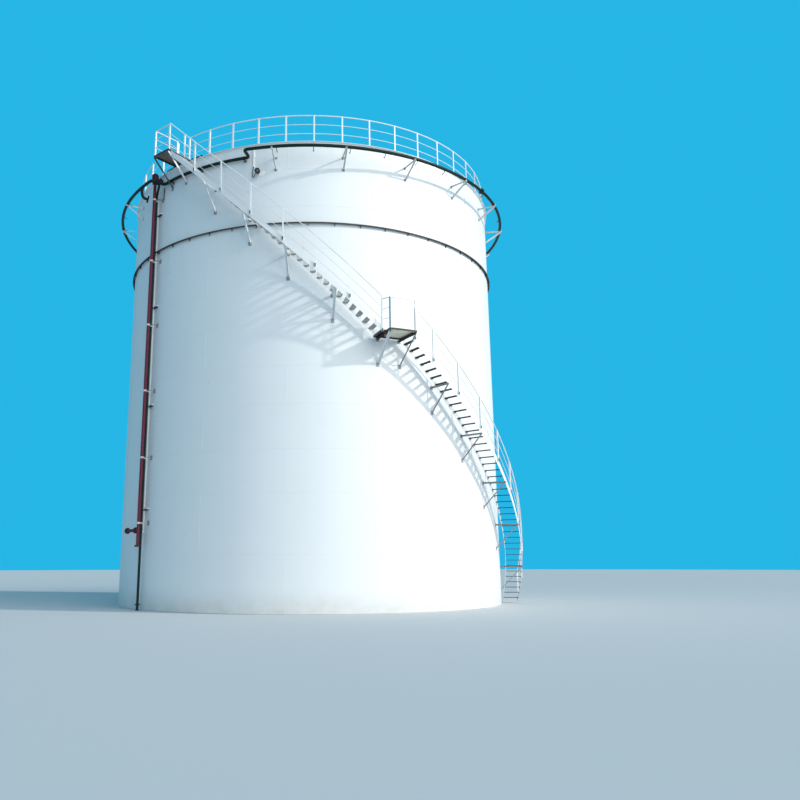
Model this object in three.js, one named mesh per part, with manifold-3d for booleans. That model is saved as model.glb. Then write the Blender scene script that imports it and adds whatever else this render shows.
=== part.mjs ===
// Vertical storage tank: a welded steel shell with a fixed dome roof, a curved stair that climbs the
// shell to a top platform, a railing round the roof, a cooling-water ring and its risers.
// Millimetres, +Z up. The origin is the centre of the underside of the bottom plate.
// An azimuth is in degrees round the shell: 0 faces -Y, and +90 faces +X.

import * as THREE from 'three';
import { mergeVertices } from 'three/addons/utils/BufferGeometryUtils.js';
import Module from 'manifold-3d';

const wasm = await Module();
wasm.setup();

// Driving dimensions of the tank body
const SHELL_RADIUS = 7500;
const SHELL_THICKNESS = 10;
const TANK_HEIGHT = 16000;
const BOTTOM_RADIUS = 7560;
const BOTTOM_THICKNESS = 10;
const SHELL_PANELS = 8;
const FACETS = 64;
const CURB_LEG = 75;
const CURB_THICKNESS = 10;
const ROOF_CROWN_RADIUS = 18000;
const ROOF_THICKNESS = 8;
const ROOF_EDGE_RADIUS = 7490;
const GIRDER_LEVEL = 12960;
const GIRDER_WIDTH = 95;
const GIRDER_LEG = 60;
const GIRDER_THICKNESS = 10;

// Driving dimensions of the stair
const STAIR_INNER_RADIUS = 7720;
const STAIR_OUTER_RADIUS = 8330;
const STRINGER_THICKNESS = 12;
const STRINGER_ABOVE = 180;
const STRINGER_BELOW = 35;
const LANDING_LEVEL = 9020;
const PLATFORM_LEVEL = 16160;
const LOWER_RISERS = 43;
const UPPER_RISERS = 34;
const LOWER_PITCH = 1.57;
const UPPER_PITCH = 1.6152;
const LANDING_LEFT = 15.6;
const LANDING_RIGHT = 23.4;
const LANDING_WIDE_LEFT = 16.85;
const TREAD_THICKNESS = 32;
const BRACKET_BAR = 50;
const BRACKET_REACH = 8370;
const BRACKET_DROP = 880;
const STRUT_WIDTH = 65;
const LIGHT_STRUT_WIDTH = 40;
const POST_FOOT_LIFT = 70;
const LOWER_BRACKETS = [33.3, 44.7, 56.2, 67.0, 78.5];
const UPPER_BRACKETS = [5.2, -6.2, -16.6, -27.2];

// Steps at which each flight is divided into lengths
const LOWER_LENGTHS = [0, 11, 22, 32, 42];
const UPPER_LENGTHS = [0, 11, 22, 33];

// Driving dimensions of the platforms and railings
const LANDING_INNER_RADIUS = 7600;
const LANDING_OUTER_RADIUS = 8660;
const PLATFORM_INNER_RADIUS = 7431;
const PLATFORM_OUTER_RADIUS = 8450;
const PLATFORM_LEFT = -43.4;
const PLATFORM_RIGHT = -37.7;
const PLATFORM_BRACE_DROP = 960;
// The left brace stands just outside the deck's left edge and leans further left at its foot
const PLATFORM_BRACES = [{ head: -43.6, foot: -44.05 }, { head: -38.14, foot: -38.14 }];
const SEAT_WIDTH = 60;
const SEAT_PAST_LEFT = 3.6;
const SEAT_PAST_RIGHT = 5.4;
const DECK_THICKNESS = 8;
const DECK_EDGE_DEPTH = 75;
const RAIL_HEIGHT = 1050;
const PLATFORM_RAIL_HEIGHT = 1000;
const STAIR_RAIL_RISE = 1185;
const POST_SIZE = 50;
const RAIL_SIZE = 38;
const RAILS_PER_POST = 3;
const RAIL_EDGE_INSET = 30;
const RAIL_MITRE = 1.3;
const RAIL_TOP_OFFSET = 16;
const GATE_AZIMUTH = -38.2;
const GATE_RADIUS = 7650;
const ROOF_RAIL_RADIUS = 7400;
const ROOF_RAIL_BAYS = 46;
const ROOF_RAIL_NODES = 4;
const LOWER_POSTS = [89.0, 82.4, 74.8, 67.1, 59.5, 51.9, 44.2, 36.5, 29.0, 24.1];
const UPPER_POSTS = [15.87, 8.4, 0.6, -6.7, -14.4, -22.0, -29.6];

// Driving dimensions of the pipework
const RING_LEVEL = 15510;
const RING_RADIUS = 8130;
const RING_INSET_RADIUS = 7600;
const RING_PIPE_RADIUS = 57;
const RING_INSET_RIGHT = -17.0;
const RING_INSET_LEFT = -47.2;
const RING_BRACKET_PITCH = 18;
const RING_BRACKET_START = -9.8;
const RING_BRACKET_REACH = 8215;
const RING_BRACKET_DROP = 480;
const RING_STRUT_WIDTH = 40;
const BRANCH_PIPE_RADIUS = 52;
const BRANCH_FLANGE = { radius: 135, back: 25, face: 30 };
const BRANCH_ROUTE = [
  [-52.3, 8130, 22],
  [-52.34, 8144, 200],
  [-52.27, 8121, 350],
  [-52.08, 8051, 445],
  [-51.73, 7930, 475],
];
const RISER_PIPE_RADIUS = 57;
const FOAM_RISER_AZIMUTH = -49.8;
const FOAM_RISER_RADIUS = 7795;
const FOAM_RISER_BOTTOM = 2150;
const FOAM_BRANCH_LEVEL = 2680;
const FOAM_BRANCH_LENGTH = 760;
const WATER_RISER_AZIMUTH = -50.45;
const WATER_RISER_RADIUS = 7650;
const WATER_RISER_NECK = { foot: 310, head: 170, radius: 7830 };
const WATER_RISER_PIPE_RADIUS = 44;
const WATER_RISER_FOOT_RADIUS = 70;
const CLAMP_WIDTH = 60;
const CLAMP_THICKNESS = 12;
const CLAMP_ROOT_AZIMUTH = -48.7;
const CLAMP_BAR_RADIUS = 7712;
const CLAMP_PAST_RISER = 0.6;
const RISER_CLAMP_LEVELS = [2930, 5200, 7600, 10050, 12520, 14960];
const CONDUIT_AZIMUTH = -50.75;
const CONDUIT_RADIUS = 7540;
const CONDUIT_PIPE_RADIUS = 25;
const CONDUIT_FOOT = 2600;
const CONDUIT_HEAD = 15200;
const CONDUIT_CLIP_LEVELS = [3430, 7110, 10810, 14440];
const CONDUIT_CLIP = { left: -0.3, right: 1.9, radius: 7530, width: 70, height: 40 };
const STUB_AZIMUTHS = [-18.4, -32, -43.5];
const FLANGE_RIM = 48;
const FLANGE_THICKNESS = 50;

// Foam chamber, from its foot upwards as [radius, height over the foot]
const CHAMBER_FOOT = 15600;
const CHAMBER_PROFILE = [[0, 0], [100, 0], [122, 40], [122, 330], [100, 385], [55, 415], [0, 425]];
const CHAMBER_OUTLET = { lift: 180, radius: 75, flangeRadius: 118, flangeFrom: 60, flangeTo: 100 };

// Flood lamp: a round housing on a short arm, with a conduit beside it
const LAMP = { azimuth: -14.5, level: 14910, reach: 230, radius: 95, depth: 140, bodyRadius: 70 };
const LAMP_ARM_REACH = 100;
const LAMP_CONDUIT = { azimuth: -15.95, standoff: 34, radius: 14, top: 15900, foot: 14870 };

// Roof vent, as [radius, height over the crown of the roof]
const VENT_PROFILE = [[0, -100], [125, -100], [125, 420], [300, 420], [300, 560], [230, 640], [0, 690]];
const ROOF_NECKS = [
  { name: 'roof_manhole', azimuth: -40.7, radius: 6100, bore: 305, height: 260, cover: 370 },
  { name: 'gauge_hatch', azimuth: -31.5, radius: 6000, bore: 110, height: 300, cover: 165 },
];
const NECK_COVER = 60;
const SHELL_NECKS = [
  { name: 'shell_manhole', azimuth: 150, level: 760, bore: 305, reach: 230, flange: 385, plate: 60 },
  { name: 'inlet_nozzle', azimuth: -150, level: 420, bore: 110, reach: 260, flange: 170, plate: 36 },
  { name: 'outlet_nozzle', azimuth: 180, level: 420, bore: 110, reach: 260, flange: 170, plate: 36 },
];

// Clearance left between touching pieces, and how far a fixed piece starts inside the shell
// before it is trimmed to the shell's face
const GAP = 0.3;
const ROOTED = 40;
const TRIM_TOP = 15900;

// Radii that follow from the dimensions above
const PLATFORM_RAIL_RADIUS = PLATFORM_OUTER_RADIUS - RAIL_EDGE_INSET;
const LANDING_RAIL_RADIUS = LANDING_OUTER_RADIUS - RAIL_EDGE_INSET;
const LANDING_POST_RADIUS = STAIR_OUTER_RADIUS + STRINGER_THICKNESS + POST_SIZE / 2 + GAP;

// Colours of the real finishes
const finishes = {
  whitePaint: { color: 0xf1f3f2, roughness: 0.42, metalness: 0.05 },
  roofPaint: { color: 0xe3e6e5, roughness: 0.5, metalness: 0.05 },
  girderPaint: { color: 0x3c342e, roughness: 0.65, metalness: 0.1 },
  greenPaint: { color: 0x0c3a30, roughness: 0.4, metalness: 0.1 },
  maroonPaint: { color: 0x6b1f33, roughness: 0.4, metalness: 0.1 },
  deckSteel: { color: 0x8d8a78, roughness: 0.7, metalness: 0.3 },
};

const group = new THREE.Group();

// Places and directions round the tank
const radians = (degrees) => (degrees * Math.PI) / 180;
const sweepOf = (length, radius) => (length / radius) * (180 / Math.PI);

function at(azimuth, radius, z) {
  const a = radians(azimuth);
  return new THREE.Vector3(radius * Math.sin(a), -radius * Math.cos(a), z);
}

// A solid from any closed geometry, with its faces turned outwards
function solid(geometry) {
  const bare = geometry.clone();
  for (const name of Object.keys(bare.attributes)) {
    if (name !== 'position') bare.deleteAttribute(name);
  }
  const merged = mergeVertices(bare, 1e-3);
  const vertProperties = new Float32Array(merged.attributes.position.array);
  const triVerts = new Uint32Array(merged.index.array);
  const made = new wasm.Manifold(new wasm.Mesh({ numProp: 3, vertProperties, triVerts }));
  if (made.volume() > 0) return made;
  for (let i = 0; i < triVerts.length; i += 3) {
    const second = triVerts[i + 1];
    triVerts[i + 1] = triVerts[i + 2];
    triVerts[i + 2] = second;
  }
  return new wasm.Manifold(new wasm.Mesh({ numProp: 3, vertProperties, triVerts }));
}

function fuse(...solids) {
  return solids.reduce((sum, next) => sum.add(next));
}

function piece(name, shape, finish) {
  const mesh = shape.getMesh();
  const geometry = new THREE.BufferGeometry();
  geometry.setAttribute('position', new THREE.BufferAttribute(mesh.vertProperties, 3));
  geometry.setIndex(new THREE.BufferAttribute(mesh.triVerts, 1));
  geometry.computeVertexNormals();
  const part = new THREE.Mesh(geometry, new THREE.MeshStandardMaterial(finish));
  part.name = name;
  group.add(part);
}

// A band of constant height that bends round the tank between two azimuths
function arcBand(inner, outer, from, to, low, high, step) {
  const count = Math.max(1, Math.round(Math.abs(to - from) / step));
  const outline = [];
  for (let i = 0; i <= count; i += 1) {
    const p = at(from + ((to - from) * i) / count, outer, 0);
    outline.push(new THREE.Vector2(p.x, p.y));
  }
  for (let i = count; i >= 0; i -= 1) {
    const p = at(from + ((to - from) * i) / count, inner, 0);
    outline.push(new THREE.Vector2(p.x, p.y));
  }
  const shape = new THREE.Shape(outline);
  const band = new THREE.ExtrudeGeometry(shape, { depth: high - low, bevelEnabled: false });
  band.translate(0, 0, low);
  return band;
}

// The same band, lifted at each azimuth by the height that a function gives
function climb(geometry, heightAt) {
  const position = geometry.attributes.position;
  for (let i = 0; i < position.count; i += 1) {
    const azimuth = Math.atan2(position.getX(i), -position.getY(i)) * (180 / Math.PI);
    position.setZ(i, position.getZ(i) + heightAt(azimuth));
  }
  return geometry;
}

// A full ring or disc turned from a profile of [radius, height] points
function turned(profile, segments = FACETS) {
  const points = profile.map(([radius, z]) => new THREE.Vector2(radius, z));
  const geometry = new THREE.LatheGeometry(points, segments);
  geometry.rotateX(Math.PI / 2);
  return solid(geometry);
}

// A straight bar of rectangular section, its width level and square to the bar
function bar(start, end, width, depth) {
  const along = new THREE.Vector3().subVectors(end, start);
  const length = along.length();
  along.normalize();
  const upright = Math.abs(along.z) > 0.999;
  const outwards = new THREE.Vector3(start.x, start.y, 0).normalize();
  const lean = upright ? outwards : new THREE.Vector3(0, 0, 1);
  const side = new THREE.Vector3().crossVectors(lean, along).normalize();
  const up = new THREE.Vector3().crossVectors(along, side);
  const geometry = new THREE.BoxGeometry(length, width, depth);
  const middle = new THREE.Vector3().addVectors(start, end).multiplyScalar(0.5);
  const frame = new THREE.Matrix4().makeBasis(along, side, up).setPosition(middle);
  geometry.applyMatrix4(frame);
  return solid(geometry);
}

// A straight round bar or pipe, modelled solid
function rod(start, end, radius, sides = 12) {
  const along = new THREE.Vector3().subVectors(end, start);
  const geometry = new THREE.CylinderGeometry(radius, radius, along.length(), sides);
  const middle = new THREE.Vector3().addVectors(start, end).multiplyScalar(0.5);
  const turn = new THREE.Quaternion().setFromUnitVectors(new THREE.Vector3(0, 1, 0), along.normalize());
  geometry.applyQuaternion(turn);
  geometry.translate(middle.x, middle.y, middle.z);
  return solid(geometry);
}

// A route through given stations, which a section follows with a mitre at each of them
class Route extends THREE.Curve {
  constructor(stations) {
    super();
    this.stations = stations;
  }

  getPoint(t) {
    const last = this.stations.length - 1;
    const i = Math.min(Math.floor(t * last + 1e-6), last - 1);
    return this.stations[i].clone().lerp(this.stations[i + 1], t * last - i);
  }

  getPointAt(t) {
    return this.getPoint(t);
  }

  getTangentAt(t) {
    const last = this.stations.length - 1;
    const i = Math.round(t * last);
    const ahead = new THREE.Vector3();
    const behind = new THREE.Vector3();
    if (i < last) ahead.subVectors(this.stations[i + 1], this.stations[i]).normalize();
    if (i > 0) behind.subVectors(this.stations[i], this.stations[i - 1]).normalize();
    return ahead.add(behind).normalize();
  }

  getSpacedPoints() {
    return this.stations;
  }
}

// Stations along straight runs, with a round bend at each inner corner that is given a length
function bentStations(points, bends) {
  const stations = [points[0]];
  for (let i = 1; i < points.length - 1; i += 1) {
    const bend = bends[i];
    if (bend === 0) {
      stations.push(points[i]);
      continue;
    }
    const back = new THREE.Vector3().subVectors(points[i - 1], points[i]).setLength(bend);
    const ahead = new THREE.Vector3().subVectors(points[i + 1], points[i]).setLength(bend);
    const entry = points[i].clone().add(back);
    const leave = points[i].clone().add(ahead);
    stations.push(...new THREE.QuadraticBezierCurve3(entry, points[i], leave).getPoints(3));
  }
  stations.push(points[points.length - 1]);
  return stations;
}

function pipeAlong(stations, radius, sides = 6) {
  const section = new THREE.Shape();
  for (let i = 0; i < sides; i += 1) {
    const a = ((i + 0.5) / sides) * 2 * Math.PI;
    const x = radius * Math.cos(a);
    const y = radius * Math.sin(a);
    if (i === 0) section.moveTo(x, y);
    else section.lineTo(x, y);
  }
  section.closePath();
  const extrudePath = new Route(stations);
  const steps = stations.length - 1;
  return solid(new THREE.ExtrudeGeometry(section, { steps, extrudePath, bevelEnabled: false }));
}

// Everything that is fixed to the shell ends at the shell's face
const shellBody = turned([
  [0, -TRIM_TOP],
  [SHELL_RADIUS + GAP, -TRIM_TOP],
  [SHELL_RADIUS + GAP, TRIM_TOP],
  [0, TRIM_TOP],
]);
const trimToShell = (shape) => shape.subtract(shellBody);

// Height of the roof's outer face at a radius
const roofCentre = TANK_HEIGHT + GAP + ROOF_THICKNESS
  - Math.sqrt(ROOF_CROWN_RADIUS ** 2 - ROOF_EDGE_RADIUS ** 2);
const roofHeight = (radius) => roofCentre + Math.sqrt(ROOF_CROWN_RADIUS ** 2 - radius ** 2);

// Bottom plate, which stands out past the shell
function buildBottom() {
  const profile = [
    [0, 0],
    [BOTTOM_RADIUS, 0],
    [BOTTOM_RADIUS, BOTTOM_THICKNESS],
    [0, BOTTOM_THICKNESS],
  ];
  piece('bottom_plate', turned(profile), finishes.whitePaint);
}

// Shell, in equal panels round the tank
function buildShell() {
  const low = BOTTOM_THICKNESS + GAP;
  const high = TANK_HEIGHT - CURB_THICKNESS - GAP;
  const sweep = 360 / SHELL_PANELS;
  const inner = SHELL_RADIUS - SHELL_THICKNESS;
  const joint = solid(new THREE.BoxGeometry(GAP, 2 * BOTTOM_RADIUS, 3 * TANK_HEIGHT));
  for (let i = 0; i < SHELL_PANELS; i += 1) {
    const from = i * sweep;
    const to = from + sweep;
    const wall = solid(arcBand(inner, SHELL_RADIUS, from, to, low, high, 360 / FACETS));
    const cut = wall.subtract(joint.rotate([0, 0, from])).subtract(joint.rotate([0, 0, to]));
    piece(`shell_panel_${i + 1}`, cut, finishes.whitePaint);
  }
}

// Angle ring on the shell's top edge: one leg lies on the plate, one hangs outside it
function buildCurb() {
  const outside = SHELL_RADIUS + GAP;
  const profile = [
    [SHELL_RADIUS - SHELL_THICKNESS, TANK_HEIGHT - CURB_THICKNESS],
    [outside, TANK_HEIGHT - CURB_THICKNESS],
    [outside, TANK_HEIGHT - CURB_LEG],
    [outside + CURB_THICKNESS, TANK_HEIGHT - CURB_LEG],
    [outside + CURB_THICKNESS, TANK_HEIGHT - CURB_THICKNESS],
    [SHELL_RADIUS + CURB_LEG, TANK_HEIGHT - CURB_THICKNESS],
    [SHELL_RADIUS + CURB_LEG, TANK_HEIGHT],
    [SHELL_RADIUS - SHELL_THICKNESS, TANK_HEIGHT],
    [SHELL_RADIUS - SHELL_THICKNESS, TANK_HEIGHT - CURB_THICKNESS],
  ];
  piece('top_curb', turned(profile), finishes.whitePaint);
}

// Stiffening ring: a shelf that stands out from the shell, with a leg turned down
function buildGirder() {
  const inner = SHELL_RADIUS + GAP;
  const outer = SHELL_RADIUS + GIRDER_WIDTH;
  const profile = [
    [inner, GIRDER_LEVEL - GIRDER_THICKNESS],
    [outer - GIRDER_THICKNESS, GIRDER_LEVEL - GIRDER_THICKNESS],
    [outer - GIRDER_THICKNESS, GIRDER_LEVEL - GIRDER_LEG],
    [outer, GIRDER_LEVEL - GIRDER_LEG],
    [outer, GIRDER_LEVEL],
    [inner, GIRDER_LEVEL],
    [inner, GIRDER_LEVEL - GIRDER_THICKNESS],
  ];
  const hole = rod(
    at(CONDUIT_AZIMUTH, CONDUIT_RADIUS, GIRDER_LEVEL - 200),
    at(CONDUIT_AZIMUTH, CONDUIT_RADIUS, GIRDER_LEVEL + 200),
    CONDUIT_PIPE_RADIUS + 3,
    8,
  );
  piece('wind_girder', turned(profile).subtract(hole), finishes.girderPaint);
}

// Dome roof: a thin plate that rests on the curb
const ROOF_RINGS = [ROOF_EDGE_RADIUS, 5600, 3400];

function roofProfile(lift) {
  return ROOF_RINGS.map((radius) => [radius, roofHeight(radius) + lift]);
}

function buildRoof() {
  const top = roofProfile(0);
  const under = roofProfile(-ROOF_THICKNESS).reverse();
  const crown = roofHeight(0);
  const profile = [...top, [0, crown], [0, crown - ROOF_THICKNESS], ...under, top[0]];
  piece('roof_dome', turned(profile), finishes.roofPaint);
}

const roofBody = turned([
  [0, TRIM_TOP],
  [ROOF_EDGE_RADIUS + GAP, TRIM_TOP],
  ...roofProfile(GAP),
  [0, roofHeight(0) + GAP],
]);
const trimToRoof = (shape) => shape.subtract(roofBody);

// Railings

// Straight rails between posts that stand at the given azimuths and foot heights
function railing(stations, height) {
  const parts = [];
  for (const station of stations) {
    if (station.post === false) continue;
    parts.push(post([station.azimuth, station.radius], station.foot, station.z + height));
  }
  for (let i = 1; i < stations.length; i += 1) {
    for (let k = 1; k <= RAILS_PER_POST; k += 1) {
      const lift = (height * k) / RAILS_PER_POST - RAIL_SIZE / 2;
      const [start, end] = [stations[i - 1], stations[i]].map(
        (station) => at(station.azimuth, station.radius, station.z + lift),
      );
      parts.push(bar(start, end, RAIL_SIZE, RAIL_SIZE));
    }
  }
  return fuse(...parts);
}

// Roof railing, open only where the top platform meets the roof
function buildRoofRail() {
  const inset = sweepOf(POST_SIZE / 2, ROOF_RAIL_RADIUS);
  const start = GATE_AZIMUTH;
  const bay = (360 - (GATE_AZIMUTH - PLATFORM_LEFT) + inset) / ROOF_RAIL_BAYS;
  const level = roofHeight(ROOF_RAIL_RADIUS);
  for (let n = 0; n < ROOF_RAIL_NODES; n += 1) {
    const first = Math.round((n * ROOF_RAIL_BAYS) / ROOF_RAIL_NODES);
    const last = Math.round(((n + 1) * ROOF_RAIL_BAYS) / ROOF_RAIL_NODES);
    const stations = [];
    for (let i = first; i <= last; i += 1) {
      const shared = i === last && n < ROOF_RAIL_NODES - 1;
      const back = shared ? sweepOf(POST_SIZE / 2 + GAP + RAIL_MITRE, ROOF_RAIL_RADIUS) : 0;
      stations.push({
        azimuth: start + i * bay - back,
        radius: ROOF_RAIL_RADIUS,
        z: level,
        foot: level - ROOTED,
        post: !shared,
      });
    }
    let rail = railing(stations, RAIL_HEIGHT);
    if (n === 0) rail = fuse(rail, stairGate(start, level));
    piece(`roof_rail_${n + 1}`, trimToRoof(rail), finishes.whitePaint);
  }
}

// A level run of rails between two places, given as [azimuth, radius]
function railRun(from, to, base, height) {
  const parts = [];
  for (let k = 1; k <= RAILS_PER_POST; k += 1) {
    const z = base + (height * k) / RAILS_PER_POST - RAIL_SIZE / 2;
    parts.push(bar(at(...from, z), at(...to, z), RAIL_SIZE, RAIL_SIZE));
  }
  return fuse(...parts);
}

function post([azimuth, radius], foot, head) {
  return bar(at(azimuth, radius, foot), at(azimuth, radius, head), POST_SIZE, POST_SIZE);
}

// Short return that closes the gap between the roof railing and the stair's inner side
function stairGate(azimuth, level) {
  const outer = [azimuth, GATE_RADIUS];
  const upright = post(outer, PLATFORM_LEVEL + GAP, level + RAIL_HEIGHT);
  return fuse(upright, railRun([azimuth, ROOF_RAIL_RADIUS], outer, level, RAIL_HEIGHT));
}

// Stair

const lowerFoot = LANDING_RIGHT + (LOWER_RISERS - 1) * LOWER_PITCH;
const lowerRise = LANDING_LEVEL / LOWER_RISERS;
const upperRise = (PLATFORM_LEVEL - LANDING_LEVEL) / UPPER_RISERS;
const lowerLine = (azimuth) => ((lowerFoot - azimuth) / LOWER_PITCH) * lowerRise;
const upperLine = (azimuth) => LANDING_LEVEL + ((LANDING_LEFT - azimuth) / UPPER_PITCH) * upperRise;

// One knee bracket: a level arm from the shell and a strut below it
function bracket(azimuth, z, reach, drop, strutWidth) {
  const size = BRACKET_BAR;
  const armZ = z - size / 2;
  const arm = bar(at(azimuth, SHELL_RADIUS - ROOTED, armZ), at(azimuth, reach, armZ), size, size);
  const strutFoot = at(azimuth, SHELL_RADIUS - ROOTED, z - drop - ROOTED);
  const strut = bar(strutFoot, at(azimuth, reach - size / 2, armZ), strutWidth, strutWidth);
  return trimToShell(fuse(arm, strut));
}

function tread(azimuth, top, pitch) {
  const going = radians(pitch) * STAIR_INNER_RADIUS - 2;
  const reach = STRINGER_THICKNESS / 2;
  const start = at(azimuth, STAIR_INNER_RADIUS + reach, top - TREAD_THICKNESS / 2);
  const end = at(azimuth, STAIR_OUTER_RADIUS + reach, top - TREAD_THICKNESS / 2);
  return bar(start, end, going, TREAD_THICKNESS);
}

function stringer(stair, radius, from, to) {
  const outside = radius + STRINGER_THICKNESS;
  const band = arcBand(radius, outside, from, to, -STRINGER_BELOW, STRINGER_ABOVE, 2 * stair.pitch);
  return solid(climb(band, stair.line));
}

// One length of stair: two plate stringers, the treads between them and the brackets under it
function flight(stair, treads, from, to, brackets) {
  const parts = treads.map((step) => tread(step.azimuth, step.top, stair.pitch));
  for (const radius of [STAIR_INNER_RADIUS, STAIR_OUTER_RADIUS]) {
    parts.push(stringer(stair, radius, from, to));
  }
  for (const azimuth of brackets) {
    parts.push(bracket(azimuth, stair.line(azimuth), BRACKET_REACH, BRACKET_DROP, stair.strut));
  }
  return fuse(...parts);
}

// A stair in lengths that meet at the steps listed in its edges
function flights(stair) {
  const joint = sweepOf(GAP, STAIR_INNER_RADIUS);
  const lengths = [];
  for (let n = 0; n + 1 < stair.edges.length; n += 1) {
    const high = stair.first - stair.edges[n] * stair.pitch;
    const low = stair.first - stair.edges[n + 1] * stair.pitch;
    const treads = [];
    for (let i = stair.edges[n]; i < stair.edges[n + 1]; i += 1) {
      const azimuth = stair.first - (i + 0.5) * stair.pitch;
      treads.push({ azimuth, top: stair.base + (i + 1) * stair.rise });
    }
    const brackets = stair.brackets.filter((azimuth) => azimuth > low && azimuth < high);
    const from = low + joint;
    const to = high - joint;
    const shape = flight(stair, treads, from, to, brackets);
    piece(`${stair.name}_${n + 1}`, shape.subtract(ground), finishes.whitePaint);
    lengths.push({ from, to });
  }
  return lengths;
}

const ground = solid(new THREE.BoxGeometry(4 * SHELL_RADIUS, 4 * SHELL_RADIUS, 2 * TANK_HEIGHT))
  .translate([0, 0, -TANK_HEIGHT]);

// Radius at which a post clears the flat facet of the outer stringer behind it
function postRadius(azimuth, lengths, pitch) {
  const { from, to } = lengths.find((length) => azimuth > length.from && azimuth < length.to);
  const sweep = (to - from) / Math.round((to - from) / (2 * pitch));
  const facet = Math.floor((azimuth - from) / sweep);
  const lean = radians(azimuth - from - (facet + 0.5) * sweep);
  const flat = (STAIR_OUTER_RADIUS + STRINGER_THICKNESS) * Math.cos(radians(sweep / 2));
  return flat / Math.cos(lean) + (POST_SIZE / 2) * (1 + Math.tan(Math.abs(lean))) + GAP;
}

// Stair railing: its posts are fixed to the outside of the outer stringer, and one stands on the
// landing's edge
function stairRail(name, line, azimuths, lengths, pitch, end = []) {
  const stations = azimuths.map((azimuth) => {
    const z = line(azimuth);
    if (azimuth > LANDING_LEFT && azimuth < LANDING_RIGHT) {
      return { azimuth, radius: LANDING_POST_RADIUS, z, foot: LANDING_LEVEL - DECK_EDGE_DEPTH };
    }
    return { azimuth, radius: postRadius(azimuth, lengths, pitch), z, foot: z + POST_FOOT_LIFT };
  });
  piece(name, railing([...stations, ...end], STAIR_RAIL_RISE), finishes.whitePaint);
}

function buildStair() {
  const lower = flights({
    name: 'stair_lower',
    line: lowerLine,
    edges: LOWER_LENGTHS,
    pitch: LOWER_PITCH,
    strut: LIGHT_STRUT_WIDTH,
    base: 0,
    rise: lowerRise,
    first: lowerFoot,
    brackets: LOWER_BRACKETS,
  });
  const upper = flights({
    name: 'stair_upper',
    line: upperLine,
    edges: UPPER_LENGTHS,
    pitch: UPPER_PITCH,
    strut: STRUT_WIDTH,
    base: LANDING_LEVEL,
    rise: upperRise,
    first: LANDING_LEFT,
    brackets: UPPER_BRACKETS,
  });
  const railTop = {
    azimuth: PLATFORM_RIGHT + sweepOf(RAIL_TOP_OFFSET, PLATFORM_RAIL_RADIUS),
    radius: PLATFORM_RAIL_RADIUS,
    z: PLATFORM_LEVEL + PLATFORM_RAIL_HEIGHT - STAIR_RAIL_RISE,
    post: false,
  };
  stairRail('stair_rail_upper', upperLine, UPPER_POSTS, upper, UPPER_PITCH, [railTop]);
  stairRail('stair_rail_lower', lowerLine, LOWER_POSTS, lower, LOWER_PITCH);
}

// A deck: a plate with edge beams turned down round it
function deck(inner, outer, from, to, top) {
  const step = Math.abs(to - from) / 2;
  const edge = DECK_THICKNESS;
  const inset = sweepOf(edge, inner);
  const slab = arcBand(inner, outer, from, to, top - DECK_EDGE_DEPTH, top, step);
  const under = top - 2 * DECK_EDGE_DEPTH;
  const left = from + inset;
  const right = to - inset;
  const hollow = arcBand(inner + edge, outer - edge, left, right, under, top - edge, step);
  return solid(slab).subtract(solid(hollow));
}

// The landing stands out past the stair, but for a short step at the foot of the upper flight
function buildLanding() {
  const joint = sweepOf(GAP, STAIR_INNER_RADIUS);
  const right = LANDING_RIGHT - joint;
  const stairEdge = STAIR_OUTER_RADIUS + STRINGER_THICKNESS;
  const lap = sweepOf(DECK_THICKNESS, LANDING_INNER_RADIUS);
  const wide = deck(LANDING_INNER_RADIUS, LANDING_OUTER_RADIUS, LANDING_WIDE_LEFT, right, LANDING_LEVEL);
  const narrow = deck(
    LANDING_INNER_RADIUS,
    stairEdge,
    LANDING_LEFT + joint,
    LANDING_WIDE_LEFT + lap,
    LANDING_LEVEL,
  );
  const bearing = LANDING_LEVEL - DECK_EDGE_DEPTH + 2;
  const inset = sweepOf(BRACKET_BAR / 2, SHELL_RADIUS);
  const brackets = [
    bracket(LANDING_WIDE_LEFT + inset, bearing, LANDING_OUTER_RADIUS, BRACKET_DROP, STRUT_WIDTH),
    bracket(right - inset, bearing, LANDING_OUTER_RADIUS, BRACKET_DROP, LIGHT_STRUT_WIDTH),
  ];
  piece('stair_landing', fuse(wide, narrow, ...brackets), finishes.deckSteel);
}

function buildPlatform() {
  const right = PLATFORM_RIGHT - sweepOf(GAP, STAIR_INNER_RADIUS);
  const plate = deck(PLATFORM_INNER_RADIUS, PLATFORM_OUTER_RADIUS, PLATFORM_LEFT, right, PLATFORM_LEVEL);
  const braces = PLATFORM_BRACES.map((brace) => {
    const head = at(brace.head, PLATFORM_OUTER_RADIUS - 4, PLATFORM_LEVEL - DECK_EDGE_DEPTH + 10);
    const foot = at(brace.foot, SHELL_RADIUS - ROOTED, PLATFORM_LEVEL - PLATFORM_BRACE_DROP);
    return trimToShell(bar(foot, head, STRUT_WIDTH, STRUT_WIDTH));
  });
  const seat = arcBand(
    SHELL_RADIUS - SEAT_WIDTH / 2,
    SHELL_RADIUS + SEAT_WIDTH / 2,
    PLATFORM_LEFT - SEAT_PAST_LEFT,
    PLATFORM_RIGHT + SEAT_PAST_RIGHT,
    TANK_HEIGHT + GAP,
    PLATFORM_LEVEL - DECK_EDGE_DEPTH + 5,
    3,
  );
  const shelf = trimToRoof(fuse(plate, solid(seat)));
  piece('top_platform', fuse(shelf, ...braces), finishes.deckSteel);
}

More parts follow.
